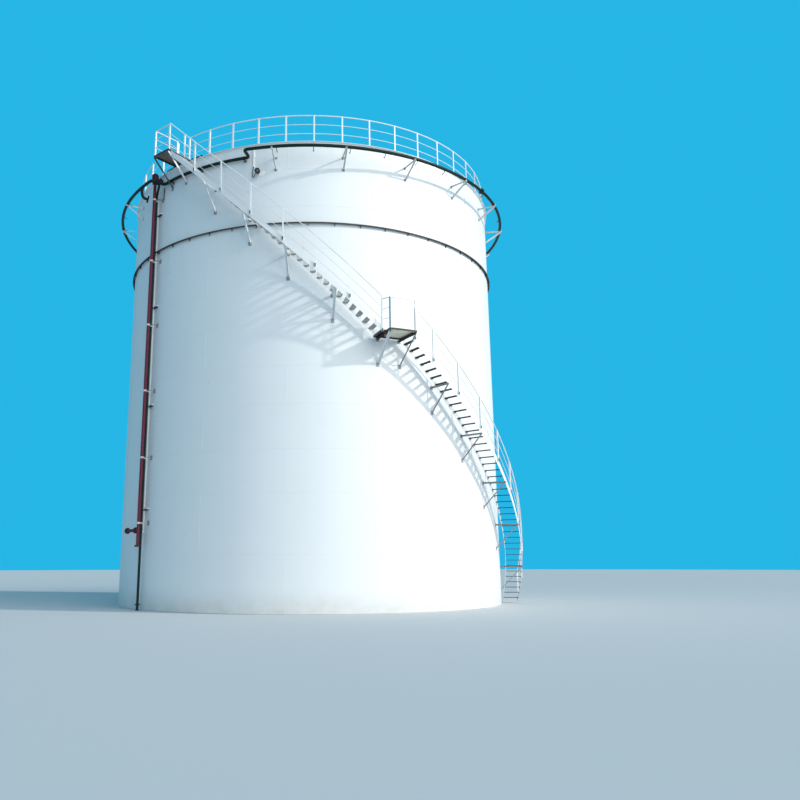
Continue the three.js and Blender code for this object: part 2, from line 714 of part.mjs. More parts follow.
// Railing on the platform's left and outer sides
function buildPlatformRail() {
  const radius = PLATFORM_RAIL_RADIUS;
  const foot = PLATFORM_LEVEL + GAP;
  const height = PLATFORM_RAIL_HEIGHT;
  const left = PLATFORM_LEFT + sweepOf(POST_SIZE / 2, radius);
  const right = PLATFORM_RIGHT - sweepOf(POST_SIZE / 2 + RAIL_MITRE, radius);
  const corners = [[left, ROOF_RAIL_RADIUS + POST_SIZE + GAP], [left, radius], [right, radius]];
  const parts = corners.map((corner) => post(corner, foot, PLATFORM_LEVEL + height));
  parts.push(railRun(corners[0], corners[1], PLATFORM_LEVEL, height));
  parts.push(railRun(corners[1], corners[2], PLATFORM_LEVEL, height));
  piece('platform_rail', fuse(...parts), finishes.whitePaint);
}

// A place on the way from one post to another, just clear of the first post's corners
function clearOfPost(from, to) {
  const span = at(...from, 0).distanceTo(at(...to, 0));
  const share = (POST_SIZE * Math.SQRT1_2 + GAP) / span;
  return from.map((value, i) => value + (to[i] - value) * share);
}

// Railing on the landing's outer side, with short returns to the end posts of the stair railings
function buildLandingRail() {
  const radius = LANDING_RAIL_RADIUS;
  const inset = sweepOf(POST_SIZE / 2, radius);
  const left = [LANDING_WIDE_LEFT + inset, radius];
  const right = [LANDING_RIGHT - inset, radius];
  const upperEnd = clearOfPost([UPPER_POSTS[0], LANDING_POST_RADIUS], left);
  const lowerEnd = clearOfPost([LOWER_POSTS.at(-1), LANDING_POST_RADIUS], right);
  const ends = [upperEnd, left, right, lowerEnd];
  const parts = [];
  for (const corner of [left, right]) {
    parts.push(post(corner, LANDING_LEVEL + GAP, LANDING_LEVEL + RAIL_HEIGHT));
  }
  for (let i = 1; i < ends.length; i += 1) {
    parts.push(railRun(ends[i - 1], ends[i], LANDING_LEVEL, RAIL_HEIGHT));
  }
  piece('landing_rail', fuse(...parts), finishes.whitePaint);
}

// Cooling-water ring

const ringPoint = (azimuth, radius) => at(azimuth, radius, RING_LEVEL);

// Short end steps keep the end faces square to the ring
function ringArc(from, to, radius = RING_PIPE_RADIUS) {
  const count = Math.round((to - from) / 6);
  const points = [ringPoint(from, RING_RADIUS), ringPoint(from + 0.2, RING_RADIUS)];
  for (let i = 1; i < count; i += 1) {
    points.push(ringPoint(from + ((to - from) * i) / count, RING_RADIUS));
  }
  points.push(ringPoint(to - 0.2, RING_RADIUS), ringPoint(to, RING_RADIUS));
  return pipeAlong(points, radius);
}

function ringBracket(azimuth) {
  const bearing = RING_LEVEL - RING_PIPE_RADIUS + 8;
  return bracket(azimuth, bearing, RING_BRACKET_REACH, RING_BRACKET_DROP, RING_STRUT_WIDTH);
}

function buildRing() {
  const insetStart = RING_INSET_LEFT - 3;
  const insetEnd = RING_INSET_RIGHT + 3;
  const joint = sweepOf(3 * GAP, RING_RADIUS);
  const sweep = 360 - (insetEnd - insetStart);
  for (let n = 0; n < 3; n += 1) {
    const from = insetEnd + (sweep * n) / 3 + joint;
    const to = insetEnd + (sweep * (n + 1)) / 3;
    const parts = [ringArc(from, to)];
    for (let azimuth = RING_BRACKET_START; azimuth < to; azimuth += RING_BRACKET_PITCH) {
      if (azimuth > from) parts.push(ringBracket(azimuth));
    }
    piece(`water_ring_${n + 1}`, fuse(...parts), finishes.greenPaint);
    if (n === 2) buildRingBranch(ringArc(from, to, RING_PIPE_RADIUS + GAP));
  }
  buildRingInset(insetStart, insetEnd, joint);
}

// The stretch of the ring that passes behind the stair, close to the shell
function buildRingInset(start, end, joint) {
  const bend = 150;
  const outerPoint = (azimuth) => ringPoint(azimuth, RING_RADIUS);
  const points = [outerPoint(end), outerPoint(end - 0.2), outerPoint(RING_INSET_RIGHT)];
  const bends = [0, 0, bend];
  const runs = 6;
  for (let i = 0; i <= runs; i += 1) {
    const azimuth = RING_INSET_RIGHT + ((RING_INSET_LEFT - RING_INSET_RIGHT) * i) / runs;
    points.push(ringPoint(azimuth, RING_INSET_RADIUS));
    bends.push(i === 0 || i === runs ? bend : 0);
  }
  points.push(outerPoint(RING_INSET_LEFT));
  points.push(outerPoint(start + joint + 0.2));
  points.push(outerPoint(start + joint));
  bends.push(bend, 0, 0);
  const parts = [pipeAlong(bentStations(points, bends), RING_PIPE_RADIUS)];
  const z = RING_LEVEL - RING_PIPE_RADIUS - 12;
  for (const azimuth of STUB_AZIMUTHS) {
    const root = at(azimuth, SHELL_RADIUS - ROOTED, z);
    const tip = at(azimuth, RING_INSET_RADIUS + 50, z);
    parts.push(trimToShell(bar(root, tip, BRACKET_BAR, RING_STRUT_WIDTH)));
  }
  piece('water_ring_inset', fuse(...parts), finishes.greenPaint);
}

// Curved branch below the ring, trimmed to the ring's pipe and closed by a blind flange
function buildRingBranch(sleeve) {
  const points = BRANCH_ROUTE.map(([azimuth, radius, drop]) => at(azimuth, radius, RING_LEVEL - drop));
  const pipe = pipeAlong(new THREE.CatmullRomCurve3(points).getPoints(8), BRANCH_PIPE_RADIUS);
  const end = points.at(-1);
  const along = new THREE.Vector3().subVectors(end, points.at(-2)).normalize();
  const back = end.clone().addScaledVector(along, -BRANCH_FLANGE.back);
  const face = end.clone().addScaledVector(along, BRANCH_FLANGE.face);
  const flange = rod(back, face, BRANCH_FLANGE.radius, 16);
  piece('ring_flushing_branch', fuse(pipe, flange).subtract(sleeve), finishes.greenPaint);
}

// Risers

// A round flange pair that stands across a pipe
function flangeAt(centre, along, radius) {
  const half = along.clone().setLength(FLANGE_THICKNESS / 2);
  return rod(centre.clone().sub(half), centre.clone().add(half), radius, 16);
}

function buildFoamRiser() {
  const place = (z) => at(FOAM_RISER_AZIMUTH, FOAM_RISER_RADIUS, z);
  const flange = RISER_PIPE_RADIUS + FLANGE_RIM;
  const upwards = new THREE.Vector3(0, 0, 1);
  const start = place(FOAM_BRANCH_LEVEL);
  const endAzimuth = FOAM_RISER_AZIMUTH - sweepOf(FOAM_BRANCH_LENGTH, FOAM_RISER_RADIUS);
  const end = at(endAzimuth, FOAM_RISER_RADIUS + 60, FOAM_BRANCH_LEVEL);
  const along = new THREE.Vector3().subVectors(end, start).normalize();
  const parts = [
    rod(place(FOAM_RISER_BOTTOM), place(CHAMBER_FOOT - GAP), RISER_PIPE_RADIUS),
    flangeAt(place(FOAM_RISER_BOTTOM), upwards, flange),
    rod(start, end, RISER_PIPE_RADIUS),
  ];
  for (const distance of [170, start.distanceTo(end) - FLANGE_THICKNESS / 2]) {
    parts.push(flangeAt(start.clone().addScaledVector(along, distance), along, flange));
  }
  piece('foam_riser', fuse(...parts), finishes.maroonPaint);
}

// Chamber on the foam riser, with its outlet through the shell
function buildFoamChamber() {
  const outlet = CHAMBER_OUTLET;
  const place = (radius) => at(FOAM_RISER_AZIMUTH, radius, CHAMBER_FOOT + outlet.lift);
  const centre = at(FOAM_RISER_AZIMUTH, FOAM_RISER_RADIUS, CHAMBER_FOOT);
  const body = turned(CHAMBER_PROFILE, 20).translate([centre.x, centre.y, centre.z]);
  const neck = rod(place(SHELL_RADIUS - ROOTED), place(FOAM_RISER_RADIUS), outlet.radius);
  const flangeBack = place(SHELL_RADIUS + outlet.flangeFrom);
  const flangeFace = place(SHELL_RADIUS + outlet.flangeTo);
  const flange = rod(flangeBack, flangeFace, outlet.flangeRadius, 16);
  piece('foam_chamber', trimToShell(fuse(body, neck, flange)), finishes.maroonPaint);
}

// Water riser, with the clamps that hold both risers to the shell
function buildWaterRiser() {
  const azimuth = WATER_RISER_AZIMUTH;
  const radius = WATER_RISER_RADIUS;
  const foamPipe = rod(
    at(FOAM_RISER_AZIMUTH, FOAM_RISER_RADIUS, 0),
    at(FOAM_RISER_AZIMUTH, FOAM_RISER_RADIUS, TANK_HEIGHT),
    RISER_PIPE_RADIUS + GAP,
  );
  const neck = WATER_RISER_NECK;
  const points = [
    at(azimuth, radius, 0),
    at(azimuth, radius, RING_LEVEL - neck.foot),
    at(RING_INSET_LEFT, neck.radius, RING_LEVEL - neck.head),
    at(RING_INSET_LEFT, neck.radius, RING_LEVEL - RING_PIPE_RADIUS - 2),
  ];
  const parts = [
    pipeAlong(bentStations(points, [0, 70, 70, 0]), WATER_RISER_PIPE_RADIUS, 8),
    rod(at(azimuth, radius, 0), at(azimuth, radius, 24), WATER_RISER_FOOT_RADIUS, 12),
  ];
  for (const z of RISER_CLAMP_LEVELS) {
    const root = at(CLAMP_ROOT_AZIMUTH, SHELL_RADIUS - ROOTED, z);
    const elbow = at(CLAMP_ROOT_AZIMUTH, CLAMP_BAR_RADIUS + CLAMP_WIDTH / 2, z);
    const corner = at(CLAMP_ROOT_AZIMUTH, CLAMP_BAR_RADIUS, z);
    const tip = at(FOAM_RISER_AZIMUTH - CLAMP_PAST_RISER, CLAMP_BAR_RADIUS, z);
    parts.push(bar(root, elbow, CLAMP_WIDTH, CLAMP_THICKNESS));
    parts.push(bar(corner, tip, CLAMP_WIDTH, CLAMP_THICKNESS));
  }
  piece('water_riser', trimToShell(fuse(...parts).subtract(foamPipe)), finishes.greenPaint);
}

// Cable conduit beside the risers
function buildConduit() {
  const place = (z) => at(CONDUIT_AZIMUTH, CONDUIT_RADIUS, z);
  const clip = CONDUIT_CLIP;
  const parts = [rod(place(CONDUIT_FOOT), place(CONDUIT_HEAD), CONDUIT_PIPE_RADIUS, 8)];
  for (const z of CONDUIT_CLIP_LEVELS) {
    const left = at(CONDUIT_AZIMUTH + clip.left, clip.radius, z);
    const right = at(CONDUIT_AZIMUTH + clip.right, clip.radius, z);
    parts.push(bar(left, right, clip.width, clip.height));
  }
  piece('cable_conduit', trimToShell(fuse(...parts)), finishes.whitePaint);
}

// Flood lamp under the roof edge, with its conduit
function buildLamp() {
  const { azimuth, level } = LAMP;
  const face = SHELL_RADIUS + LAMP.reach;
  const line = SHELL_RADIUS + LAMP_CONDUIT.standoff;
  const place = (radius) => at(azimuth, radius, level);
  const parts = [
    rod(place(face - LAMP.depth), place(face), LAMP.radius, 16),
    rod(place(face - LAMP.depth - 30), place(face - 60), LAMP.bodyRadius, 16),
    bar(place(SHELL_RADIUS - ROOTED), place(SHELL_RADIUS + LAMP_ARM_REACH), 60, 50),
    rod(
      at(LAMP_CONDUIT.azimuth, line, LAMP_CONDUIT.foot),
      at(LAMP_CONDUIT.azimuth, line, LAMP_CONDUIT.top),
      LAMP_CONDUIT.radius,
      8,
    ),
    bar(at(LAMP_CONDUIT.azimuth, line, level), place(line), 26, 26),
  ];
  piece('flood_lamp', trimToShell(fuse(...parts)), finishes.whitePaint);
}

// A round fitting that stands on the roof at an azimuth and a radius
function standOnRoof(name, profile, azimuth, radius) {
  const place = at(azimuth, radius, roofHeight(radius));
  const shape = turned(profile, 24).translate([place.x, place.y, place.z]);
  piece(name, trimToRoof(shape), finishes.whitePaint);
}

function buildRoofFittings() {
  standOnRoof('roof_vent', VENT_PROFILE, 0, 0);
  for (const { name, azimuth, radius, bore, height, cover } of ROOF_NECKS) {
    const profile = [
      [0, -10 * ROOTED],
      [bore, -10 * ROOTED],
      [bore, height - NECK_COVER],
      [cover, height - NECK_COVER],
      [cover, height],
      [0, height],
    ];
    standOnRoof(name, profile, azimuth, radius);
  }
}

// Fittings low on the shell, each a pipe neck with a bolted flange
function buildShellFittings() {
  for (const { name, azimuth, level, bore, reach, flange, plate } of SHELL_NECKS) {
    const face = SHELL_RADIUS + reach;
    const place = (radius) => at(azimuth, radius, level);
    const neck = rod(place(SHELL_RADIUS - 2 * ROOTED), place(face - plate / 2), bore, 24);
    const rim = rod(place(face - plate), place(face), flange, 24);
    piece(name, trimToShell(fuse(neck, rim)), finishes.whitePaint);
  }
}

buildBottom();
buildShell();
buildCurb();
buildGirder();
buildRoof();
buildRoofRail();
buildStair();
buildLanding();
buildPlatform();
buildPlatformRail();
buildLandingRail();
buildRing();
buildFoamRiser();
buildFoamChamber();
buildWaterRiser();
buildConduit();
buildLamp();
buildRoofFittings();
buildShellFittings();

export default group;
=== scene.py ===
"""Looks of an upright steel storage tank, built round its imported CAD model.

Metres, +Z up, in the frame of the CAD model. An azimuth is in degrees round the tank: 0 faces -Y,
the side that the camera sees, and +90 faces +X.
"""

import math

import bmesh
import bpy
from mathutils import Matrix, Vector


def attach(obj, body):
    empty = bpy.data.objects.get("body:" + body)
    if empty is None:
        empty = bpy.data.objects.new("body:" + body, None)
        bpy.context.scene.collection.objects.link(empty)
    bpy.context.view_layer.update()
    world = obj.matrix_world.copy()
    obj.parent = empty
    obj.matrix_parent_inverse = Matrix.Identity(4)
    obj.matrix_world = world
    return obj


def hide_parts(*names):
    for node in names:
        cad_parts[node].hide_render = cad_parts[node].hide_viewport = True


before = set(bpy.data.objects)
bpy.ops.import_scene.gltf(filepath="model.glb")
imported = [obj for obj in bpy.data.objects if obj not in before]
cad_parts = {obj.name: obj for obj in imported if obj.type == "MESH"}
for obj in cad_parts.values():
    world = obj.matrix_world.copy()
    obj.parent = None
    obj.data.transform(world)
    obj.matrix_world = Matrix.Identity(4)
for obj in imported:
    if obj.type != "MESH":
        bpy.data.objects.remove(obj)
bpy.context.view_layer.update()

UP = Vector((0.0, 0.0, 1.0))

# What the solids stand apart from each other
GAP = 0.0003

# Tank body
SHELL_RADIUS = 7.5
SHELL_THICKNESS = 0.010
SHELL_TOP = 15.99
TANK_HEIGHT = 16.0
CURB_LEG = 0.075
BOTTOM_RADIUS = 7.56
PAD_THICKNESS = 0.010
PAD_FACE = SHELL_RADIUS + 0.008
# The foot of the wall, then each round seam
COURSE_HEIGHTS = [0.0105, 1.85, 3.78, 5.19, 6.67, 7.95, 9.4, 10.63, 12.05, 13.6, 15.0]
PLATES_PER_COURSE = 8
FIRST_SEAM = -6.6
SEAM_STAGGER = 22.5
ROUND_STEPS = 192
ROOF_STEPS = 128
ROOF_CROWN_RADIUS = 18.0
ROOF_EDGE_RADIUS = 7.49
ROOF_THICKNESS = 0.008
GIRDER_LEVEL = 12.96
GIRDER_RADIUS = 7.595
GIRDER_LIP = 0.038
GUSSETS = 52
GUSSET_START = -1.06

# Stair and landings
STAIR_INNER = 7.72
STAIR_OUTER = 8.33
STRINGER_THICKNESS = 0.012
STRINGER_ABOVE = 0.18
STRINGER_BELOW = 0.035
LANDING_LEVEL = 9.02
PLATFORM_LEVEL = 16.16
LOWER_RISERS = 43
UPPER_RISERS = 34
LOWER_PITCH = 1.57
UPPER_PITCH = 1.6152
TREAD_FRONT = 0.078
GRATING_BARS = 8
GRATING_RODS = 5
LANDING_LEFT = 15.6
LANDING_WIDE_LEFT = 16.85
LANDING_PANEL_RIGHT = 18.4
LANDING_RIGHT = 23.4
LANDING_INNER = 7.6
LANDING_OUTER = 8.66
PLATFORM_INNER = 7.431
PLATFORM_OUTER = 8.45
PLATFORM_LEFT = -43.4
PLATFORM_RIGHT = -37.7
# The bearing bar on the roof's edge goes from one azimuth to the other. It is black, painted shade
# along the rim
PLATFORM_SEAT = (-47.0, -32.3)
PLATFORM_BRACE_DROP = 0.96
# Azimuths of a brace's head and foot, and its finish. The left brace's dark finish is painted shade
PLATFORM_BRACES = [(-43.6, -44.05, "shaded strut"), (-38.14, -38.14, "white")]
DECK_EDGE_DEPTH = 0.075
LOWER_BRACKETS = [33.3, 44.7, 56.2, 67.0, 78.5]
UPPER_BRACKETS = [5.2, -6.2, -16.6, -27.2]
BRACKET_REACH = 8.37
BRACKET_DROP = 0.88
BRACKET_ARM = 0.055
STRUT_LEG = 0.078
LIGHT_STRUT_LEG = 0.034

# Railings
RAIL_HEIGHT = 1.05
PLATFORM_RAIL_HEIGHT = 1.0
STAIR_RAIL_RISE = 1.185
RAIL_TUBE = 0.019
MIDDLE_TUBE = 0.011
POST_LEG = 0.05
POST_THICKNESS = 0.006
# Above this azimuth the posts of the stair have their leg on the other side
POST_SIDE_CHANGE = 10.0
ROOF_RAIL_RADIUS = 7.4
ROOF_RAIL_BAYS = 46
GATE_AZIMUTH = -38.2
GATE_RADIUS = 7.65
PLATFORM_RAIL_RADIUS = 8.42
LANDING_RAIL_RADIUS = 8.63
STAIR_RAIL_RADIUS = 8.3673
LOWER_POSTS = [89.0, 82.4, 74.8, 67.1, 59.5, 51.9, 44.2, 36.5, 29.0, 24.1]
UPPER_POSTS = [15.87, 8.4, 0.6, -6.7, -14.4, -22.0, -29.6]

# Pipework
RING_LEVEL = 15.51
RING_RADIUS = 8.13
RING_INSET = 7.6
RING_PIPE = 0.057
RING_RIGHT = -17.0
RING_LEFT = -47.2
RING_FLANGE = 52.85
# Where the ring's lengths meet
RING_UNIONS = [-14.0, 93.93, 201.87, 309.8]
RING_BRACKETS = [-9.8 + 18.0 * k for k in range(18)]
RING_STUBS = [-18.4, -32.0, -43.5]
RING_STUB_REACH = 7.65
NOZZLE_START = 5.2
NOZZLE_STEP = 9.0
RING_REACH = 8.215
RING_DROP = 0.48
RING_STRUT_LEG = 0.05
BRANCH_PIPE = 0.052
BRANCH_FLANGE = 0.135
# Azimuth, radius and drop below the ring's level
BRANCH_ROUTE = [
    (-52.3, 8.130, 0.022),
    (-52.34, 8.144, 0.200),
    (-52.27, 8.121, 0.350),
    (-52.08, 8.051, 0.445),
    (-51.73, 7.930, 0.475),
]
FOAM_AZIMUTH = -49.8
FOAM_RADIUS = 7.795
FOAM_BOTTOM = 2.15
FOAM_BRANCH = 2.68
FOAM_BRANCH_LENGTH = 0.76
FOAM_WELDS = [5.05, 8.9, 11.2, 14.1]
PIPE_FLANGE = 0.105
CHAMBER_FOOT = 15.6
WATER_AZIMUTH = -50.45
WATER_RADIUS = 7.65
WATER_PIPE = 0.044
WATER_NECK_RADIUS = 7.83
CLAMPS = [2.93, 5.2, 7.6, 10.05, 12.52, 14.96]
CLAMP_WIDTH = 0.06
CLAMP_ROOT = -48.7
CLAMP_BAR_RADIUS = 7.712
STAY_AZIMUTH = -48.2
STAY_RADIUS = 7.515
CONDUIT_AZIMUTH = -50.75
CONDUIT_RADIUS = 7.54
CONDUIT_PIPE = 0.025
CONDUIT_FOOT = 2.6
CONDUIT_HEAD = 15.2
CONDUIT_CLIPS = [3.43, 7.11, 10.81, 14.44]
CONDUIT_SLEEVES = [4.9, 8.1, 11.3, 14.3]
CLIP_RADIUS = SHELL_RADIUS + 0.034
LAMP_AZIMUTH = -14.5
LAMP_LEVEL = 14.91
LAMP_FACE = 0.23
LAMP_CONDUIT = -15.95


# Places round the tank


def spot(azimuth, radius, height):
    turn = math.radians(azimuth)
    return Vector((radius * math.sin(turn), -radius * math.cos(turn), height))


def standing(azimuth, radius, height):
    """A frame on the tank: X runs round it to higher azimuths, Y points inwards and Z up."""
    turn = Matrix.Rotation(math.radians(azimuth), 4, "Z")
    return Matrix.Translation(spot(azimuth, radius, height)) @ turn


def outwards(azimuth, radius, height):
    """A frame on the tank: X runs round it, Y points up and Z away from the tank."""
    return standing(azimuth, radius, height) @ Matrix.Rotation(math.radians(90.0), 4, "X")


def between(start, end):
    """A frame in the middle of a run: Z lies along it and X is level."""
    run = (end - start).normalized()
    ahead = run if abs(run.z) < 0.999 else Vector((start.x, start.y, 0.0))
    side = ahead.cross(UP).normalized()
    turn = Matrix((side, run.cross(side), run)).transposed().to_4x4()
    return Matrix.Translation((start + end) / 2.0) @ turn


# Shapes made with bmesh


def tube(bm, start, end, radius, sides, end_radius=None):
    bmesh.ops.create_cone(
        bm,
        cap_ends=True,
        segments=sides,
        radius1=radius,
        radius2=radius if end_radius is None else end_radius,
        depth=(end - start).length,
        matrix=between(start, end),
    )


def block(bm, place, size, bevel=0.0):
    made = bmesh.ops.create_cube(bm, size=1.0, matrix=place @ Matrix.Diagonal((*size, 1.0)))
    if bevel:
        edges = list({edge for vert in made["verts"] for edge in vert.link_edges})
        bmesh.ops.bevel(
            bm, geom=edges, offset=bevel, segments=1, profile=0.5, affect="EDGES", material=-1
        )


def extruded(bm, outline, place, depth):
    """A flat outline in a frame's X and Y, extruded along its Z and centred on it."""
    verts = [bm.verts.new(place @ Vector((x, y, -depth / 2.0))) for x, y in outline]
    made = bmesh.ops.extrude_face_region(bm, geom=[bm.faces.new(verts)])["geom"]
    far = [item for item in made if isinstance(item, bmesh.types.BMVert)]
    bmesh.ops.translate(bm, verts=far, vec=place.to_3x3() @ Vector((0.0, 0.0, depth)))


def box_outline(left, right, low, high):
    return [(left, low), (right, low), (right, high), (left, high)]


def angle_outline(leg, thickness, corner):
    """The section of a rolled angle, with its corner at the given place in both directions."""
    line = [(0, 0), (leg, 0), (leg, thickness), (thickness, thickness), (thickness, leg), (0, leg)]
    return [(x + corner, y + corner) for x, y in line]


def angle_bar(bm, start, end, leg, thickness, corner=0.0):
    """A rolled angle along a run, with its corner on the run unless another place is given."""
    extruded(bm, angle_outline(leg, thickness, corner), between(start, end), (end - start).length)


def flat_bar(bm, start, end, width, thickness):
    block(bm, between(start, end), (width, thickness, (end - start).length))


def lathe(bm, profile, place, steps):
    """Turns (radius, height) points about a frame's Z. Points on the axis close the shape."""
    verts = [bm.verts.new(place @ Vector((radius, 0.0, height))) for radius, height in profile]
    edges = [bm.edges.new(pair) for pair in zip(verts, verts[1:])]
    bmesh.ops.spin(
        bm,
        geom=verts + edges,
        cent=place.translation,
        axis=place.to_3x3() @ UP,
        angle=math.tau,
        steps=steps,
        use_merge=True,
        use_duplicate=False,
    )
    near = [vert for vert in bm.verts if vert.is_valid]
    bmesh.ops.remove_doubles(bm, verts=near, dist=1e-5)


def swept(bm, profile, first, last, steps, rise=0.0):
    """Carries a closed outline of (radius, height) points round the tank, climbing as it goes."""
    verts = [bm.verts.new(spot(first, radius, height)) for radius, height in profile]
    edges = [bm.edges.new((verts[i - 1], verts[i])) for i in range(len(verts))]
    whole = abs(last - first) == 360.0
    made = bmesh.ops.spin(
        bm,
        geom=verts + edges,
        cent=(0.0, 0.0, 0.0),
        axis=UP,
        dvec=(0.0, 0.0, rise / steps),
        angle=math.radians(last - first),
        steps=steps,
        use_merge=whole,
        use_duplicate=False,
    )
    if not whole:
        end = [item for item in made["geom_last"] if isinstance(item, bmesh.types.BMEdge)]
        bmesh.ops.edgeloop_fill(bm, edges=edges)
        bmesh.ops.edgeloop_fill(bm, edges=end)


def all_round(bm, profile, steps=ROUND_STEPS):
    swept(bm, profile, 0.0, 360.0, steps)


def pipe_arc(bm, level, ring_radius, pipe_radius, first, last, steps, sides, rise=0.0):
    turns = [math.tau * i / sides for i in range(sides)]
    profile = [
        (ring_radius + pipe_radius * math.cos(turn), level + pipe_radius * math.sin(turn))
        for turn in turns
    ]
    swept(bm, profile, first, last, steps, rise)


def bent_tube(bm, stations, radius, sides):
    """A tube along a list of points, carried from ring to ring without a twist."""
    last = len(stations) - 1
    runs = [
        (stations[min(i + 1, last)] - stations[max(i - 1, 0)]).normalized()
        for i in range(last + 1)
    ]
    turn = runs[0].to_track_quat("Z", "Y")
    place = Matrix.Translation(stations[0]) @ turn.to_matrix().to_4x4()
    ring = bmesh.ops.create_circle(bm, segments=sides, radius=radius, matrix=place)["verts"]
    start = list({edge for vert in ring for edge in vert.link_edges})
    edges = start
    for i in range(1, last + 1):
        turn = runs[i - 1].rotation_difference(runs[i]) @ turn
        next_place = Matrix.Translation(stations[i]) @ turn.to_matrix().to_4x4()
        made = bmesh.ops.extrude_edge_only(bm, edges=edges)["geom"]
        verts = {item for item in made if isinstance(item, bmesh.types.BMVert)}
        edges = [
            item
            for item in made
            if isinstance(item, bmesh.types.BMEdge) and set(item.verts) <= verts
        ]
        bmesh.ops.transform(bm, matrix=next_place @ place.inverted(), verts=list(verts))
        place = next_place
    bmesh.ops.edgeloop_fill(bm, edges=start)
    bmesh.ops.edgeloop_fill(bm, edges=edges)


def rounded(points, bend, steps=6):
    """Points along straight runs, with each inner corner rounded off over the given length."""
    route = [points[0]]
    for before, corner, after in zip(points, points[1:], points[2:]):
        entry = corner + (before - corner).normalized() * bend
        leave = corner + (after - corner).normalized() * bend
        for i in range(steps + 1):
            t = i / steps
            route.append(entry * (1 - t) ** 2 + corner * 2 * t * (1 - t) + leave * t * t)
    route.append(points[-1])
    return route


# Finishes


def new_group(name, inputs, outputs):
    group = bpy.data.node_groups.new(name, "ShaderNodeTree")
    kinds = {"vector": "NodeSocketVector", "value": "NodeSocketFloat", "color": "NodeSocketColor"}
    for socket, (kind, start) in inputs.items():
        made = group.interface.new_socket(socket, in_out="INPUT", socket_type=kinds[kind])
        if start is not None:
            made.default_value = start
    for socket, kind in outputs.items():
        group.interface.new_socket(socket, in_out="OUTPUT", socket_type=kinds[kind])
    return group


class Graph:
    """Short names for laying out shader nodes."""

    def __init__(self, tree):
        self.tree = tree

    def node(self, kind, links=None, **settings):
        made = self.tree.nodes.new(kind)
        for key, value in settings.items():
            setattr(made, key, value)
        for socket, value in (links or {}).items():
            self.feed(made.inputs[socket], value)
        return made

    def feed(self, socket, value):
        if isinstance(value, bpy.types.NodeSocket):
            self.tree.links.new(value, socket)
        else:
            socket.default_value = value

    def math(self, operation, *values):
        made = self.tree.nodes.new("ShaderNodeMath")
        made.operation = operation
        for socket, value in zip(made.inputs, values):
            self.feed(socket, value)
        return made.outputs[0]

    def times(self, first, second):
        return self.math("MULTIPLY", first, second)

    def plus(self, first, second):
        return self.math("ADD", first, second)

    def less(self, first, second):
        return self.math("SUBTRACT", first, second)

    def noise(self, vector, scale, detail, roughness):
        links = {"Vector": vector, "Scale": scale, "Detail": detail, "Roughness": roughness}
        return self.node("ShaderNodeTexNoise", links).outputs[0]

    def ramp(self, value, low, high):
        """0 below the low value, 1 above the high one, and smooth between."""
        links = {"Value": value, "From Min": low, "From Max": high}
        return self.node(
            "ShaderNodeMapRange", links, interpolation_type="SMOOTHSTEP", clamp=True
        ).outputs[0]

    def mix(self, factor, first, second):
        made = self.node("ShaderNodeMix", data_type="RGBA", clamp_factor=True)
        self.feed(made.inputs[0], factor)
        self.feed(made.inputs[6], first)
        self.feed(made.inputs[7], second)
        return made.outputs[2]

    def tinted(self, color, mask, strength, tint):
        """A colour with a tint laid over it where the mask is bright."""
        return self.mix(self.times(mask, strength), color, (*tint, 1.0))


def make_tank_coordinates():
    """Turns Object coordinates into a distance round the shell, the height, and the turn."""
    group = new_group(
        "tank coordinates",
        {"Place": ("vector", None)},
        {"Unrolled": "vector", "Streaked": "vector", "Height": "value", "Turn": "value"},
    )
    graph = Graph(group)
    place = graph.node("NodeGroupInput").outputs["Place"]
    x, y, z = graph.node("ShaderNodeSeparateXYZ", {"Vector": place}).outputs
    turn = graph.math("ARCTAN2", x, graph.times(y, -1.0))
    around = graph.times(turn, SHELL_RADIUS)
    flat = graph.node("ShaderNodeCombineXYZ", {"X": around, "Y": z}).outputs[0]
    slow = graph.times(z, 0.06)
    streaked = graph.node("ShaderNodeCombineXYZ", {"X": around, "Y": slow}).outputs[0]
    links = {"Unrolled": flat, "Streaked": streaked, "Height": z, "Turn": turn}
    graph.node("NodeGroupOutput", links)
    return group


def make_worn_paint():
    """Paint with uneven tone, grime, and rust that breaks through in spots."""
    group = new_group(
        "worn paint",
        {
            "Place": ("vector", None),
            "Paint": ("color", (0.8, 0.8, 0.8, 1.0)),
            "Grime": ("color", (0.3, 0.27, 0.22, 1.0)),
            "Rust": ("color", (0.24, 0.09, 0.03, 1.0)),
            "Grime Amount": ("value", 0.2),
            "Rust Amount": ("value", 0.2),
            "Grain": ("value", 4.0),
            "Gloss": ("value", 0.4),
        },
        {"Color": "color", "Roughness": "value", "Height": "value"},
    )
    graph = Graph(group)
    given = graph.node("NodeGroupInput").outputs
    place, grain = given["Place"], given["Grain"]
    broad = graph.noise(place, grain, 4.0, 0.6)
    fine = graph.noise(place, graph.times(grain, 9.0), 5.0, 0.65)
    speck = graph.noise(place, graph.times(grain, 3.3), 6.0, 0.7)
    grime = graph.times(graph.ramp(broad, 0.42, 0.72), given["Grime Amount"])
    edge = graph.less(0.78, graph.times(given["Rust Amount"], 0.22))
    rust = graph.ramp(speck, edge, graph.plus(edge, 0.05))
    painted = graph.mix(grime, given["Paint"], given["Grime"])
    stain = graph.times(graph.ramp(speck, graph.less(edge, 0.1), edge), 0.3)
    stained = graph.mix(stain, painted, given["Rust"])
    rusty = graph.mix(fine, given["Rust"], (0.10, 0.035, 0.015, 1.0))
    rough = graph.plus(given["Gloss"], graph.times(broad, 0.16))
    rough = graph.plus(rough, graph.times(rust, 0.35))
    links = {
        "Color": graph.mix(rust, stained, rusty),
        "Roughness": graph.math("MINIMUM", rough, 0.95),
        "Height": graph.plus(graph.times(fine, 0.25), graph.times(rust, -0.6)),
    }
    graph.node("NodeGroupOutput", links)
    return group


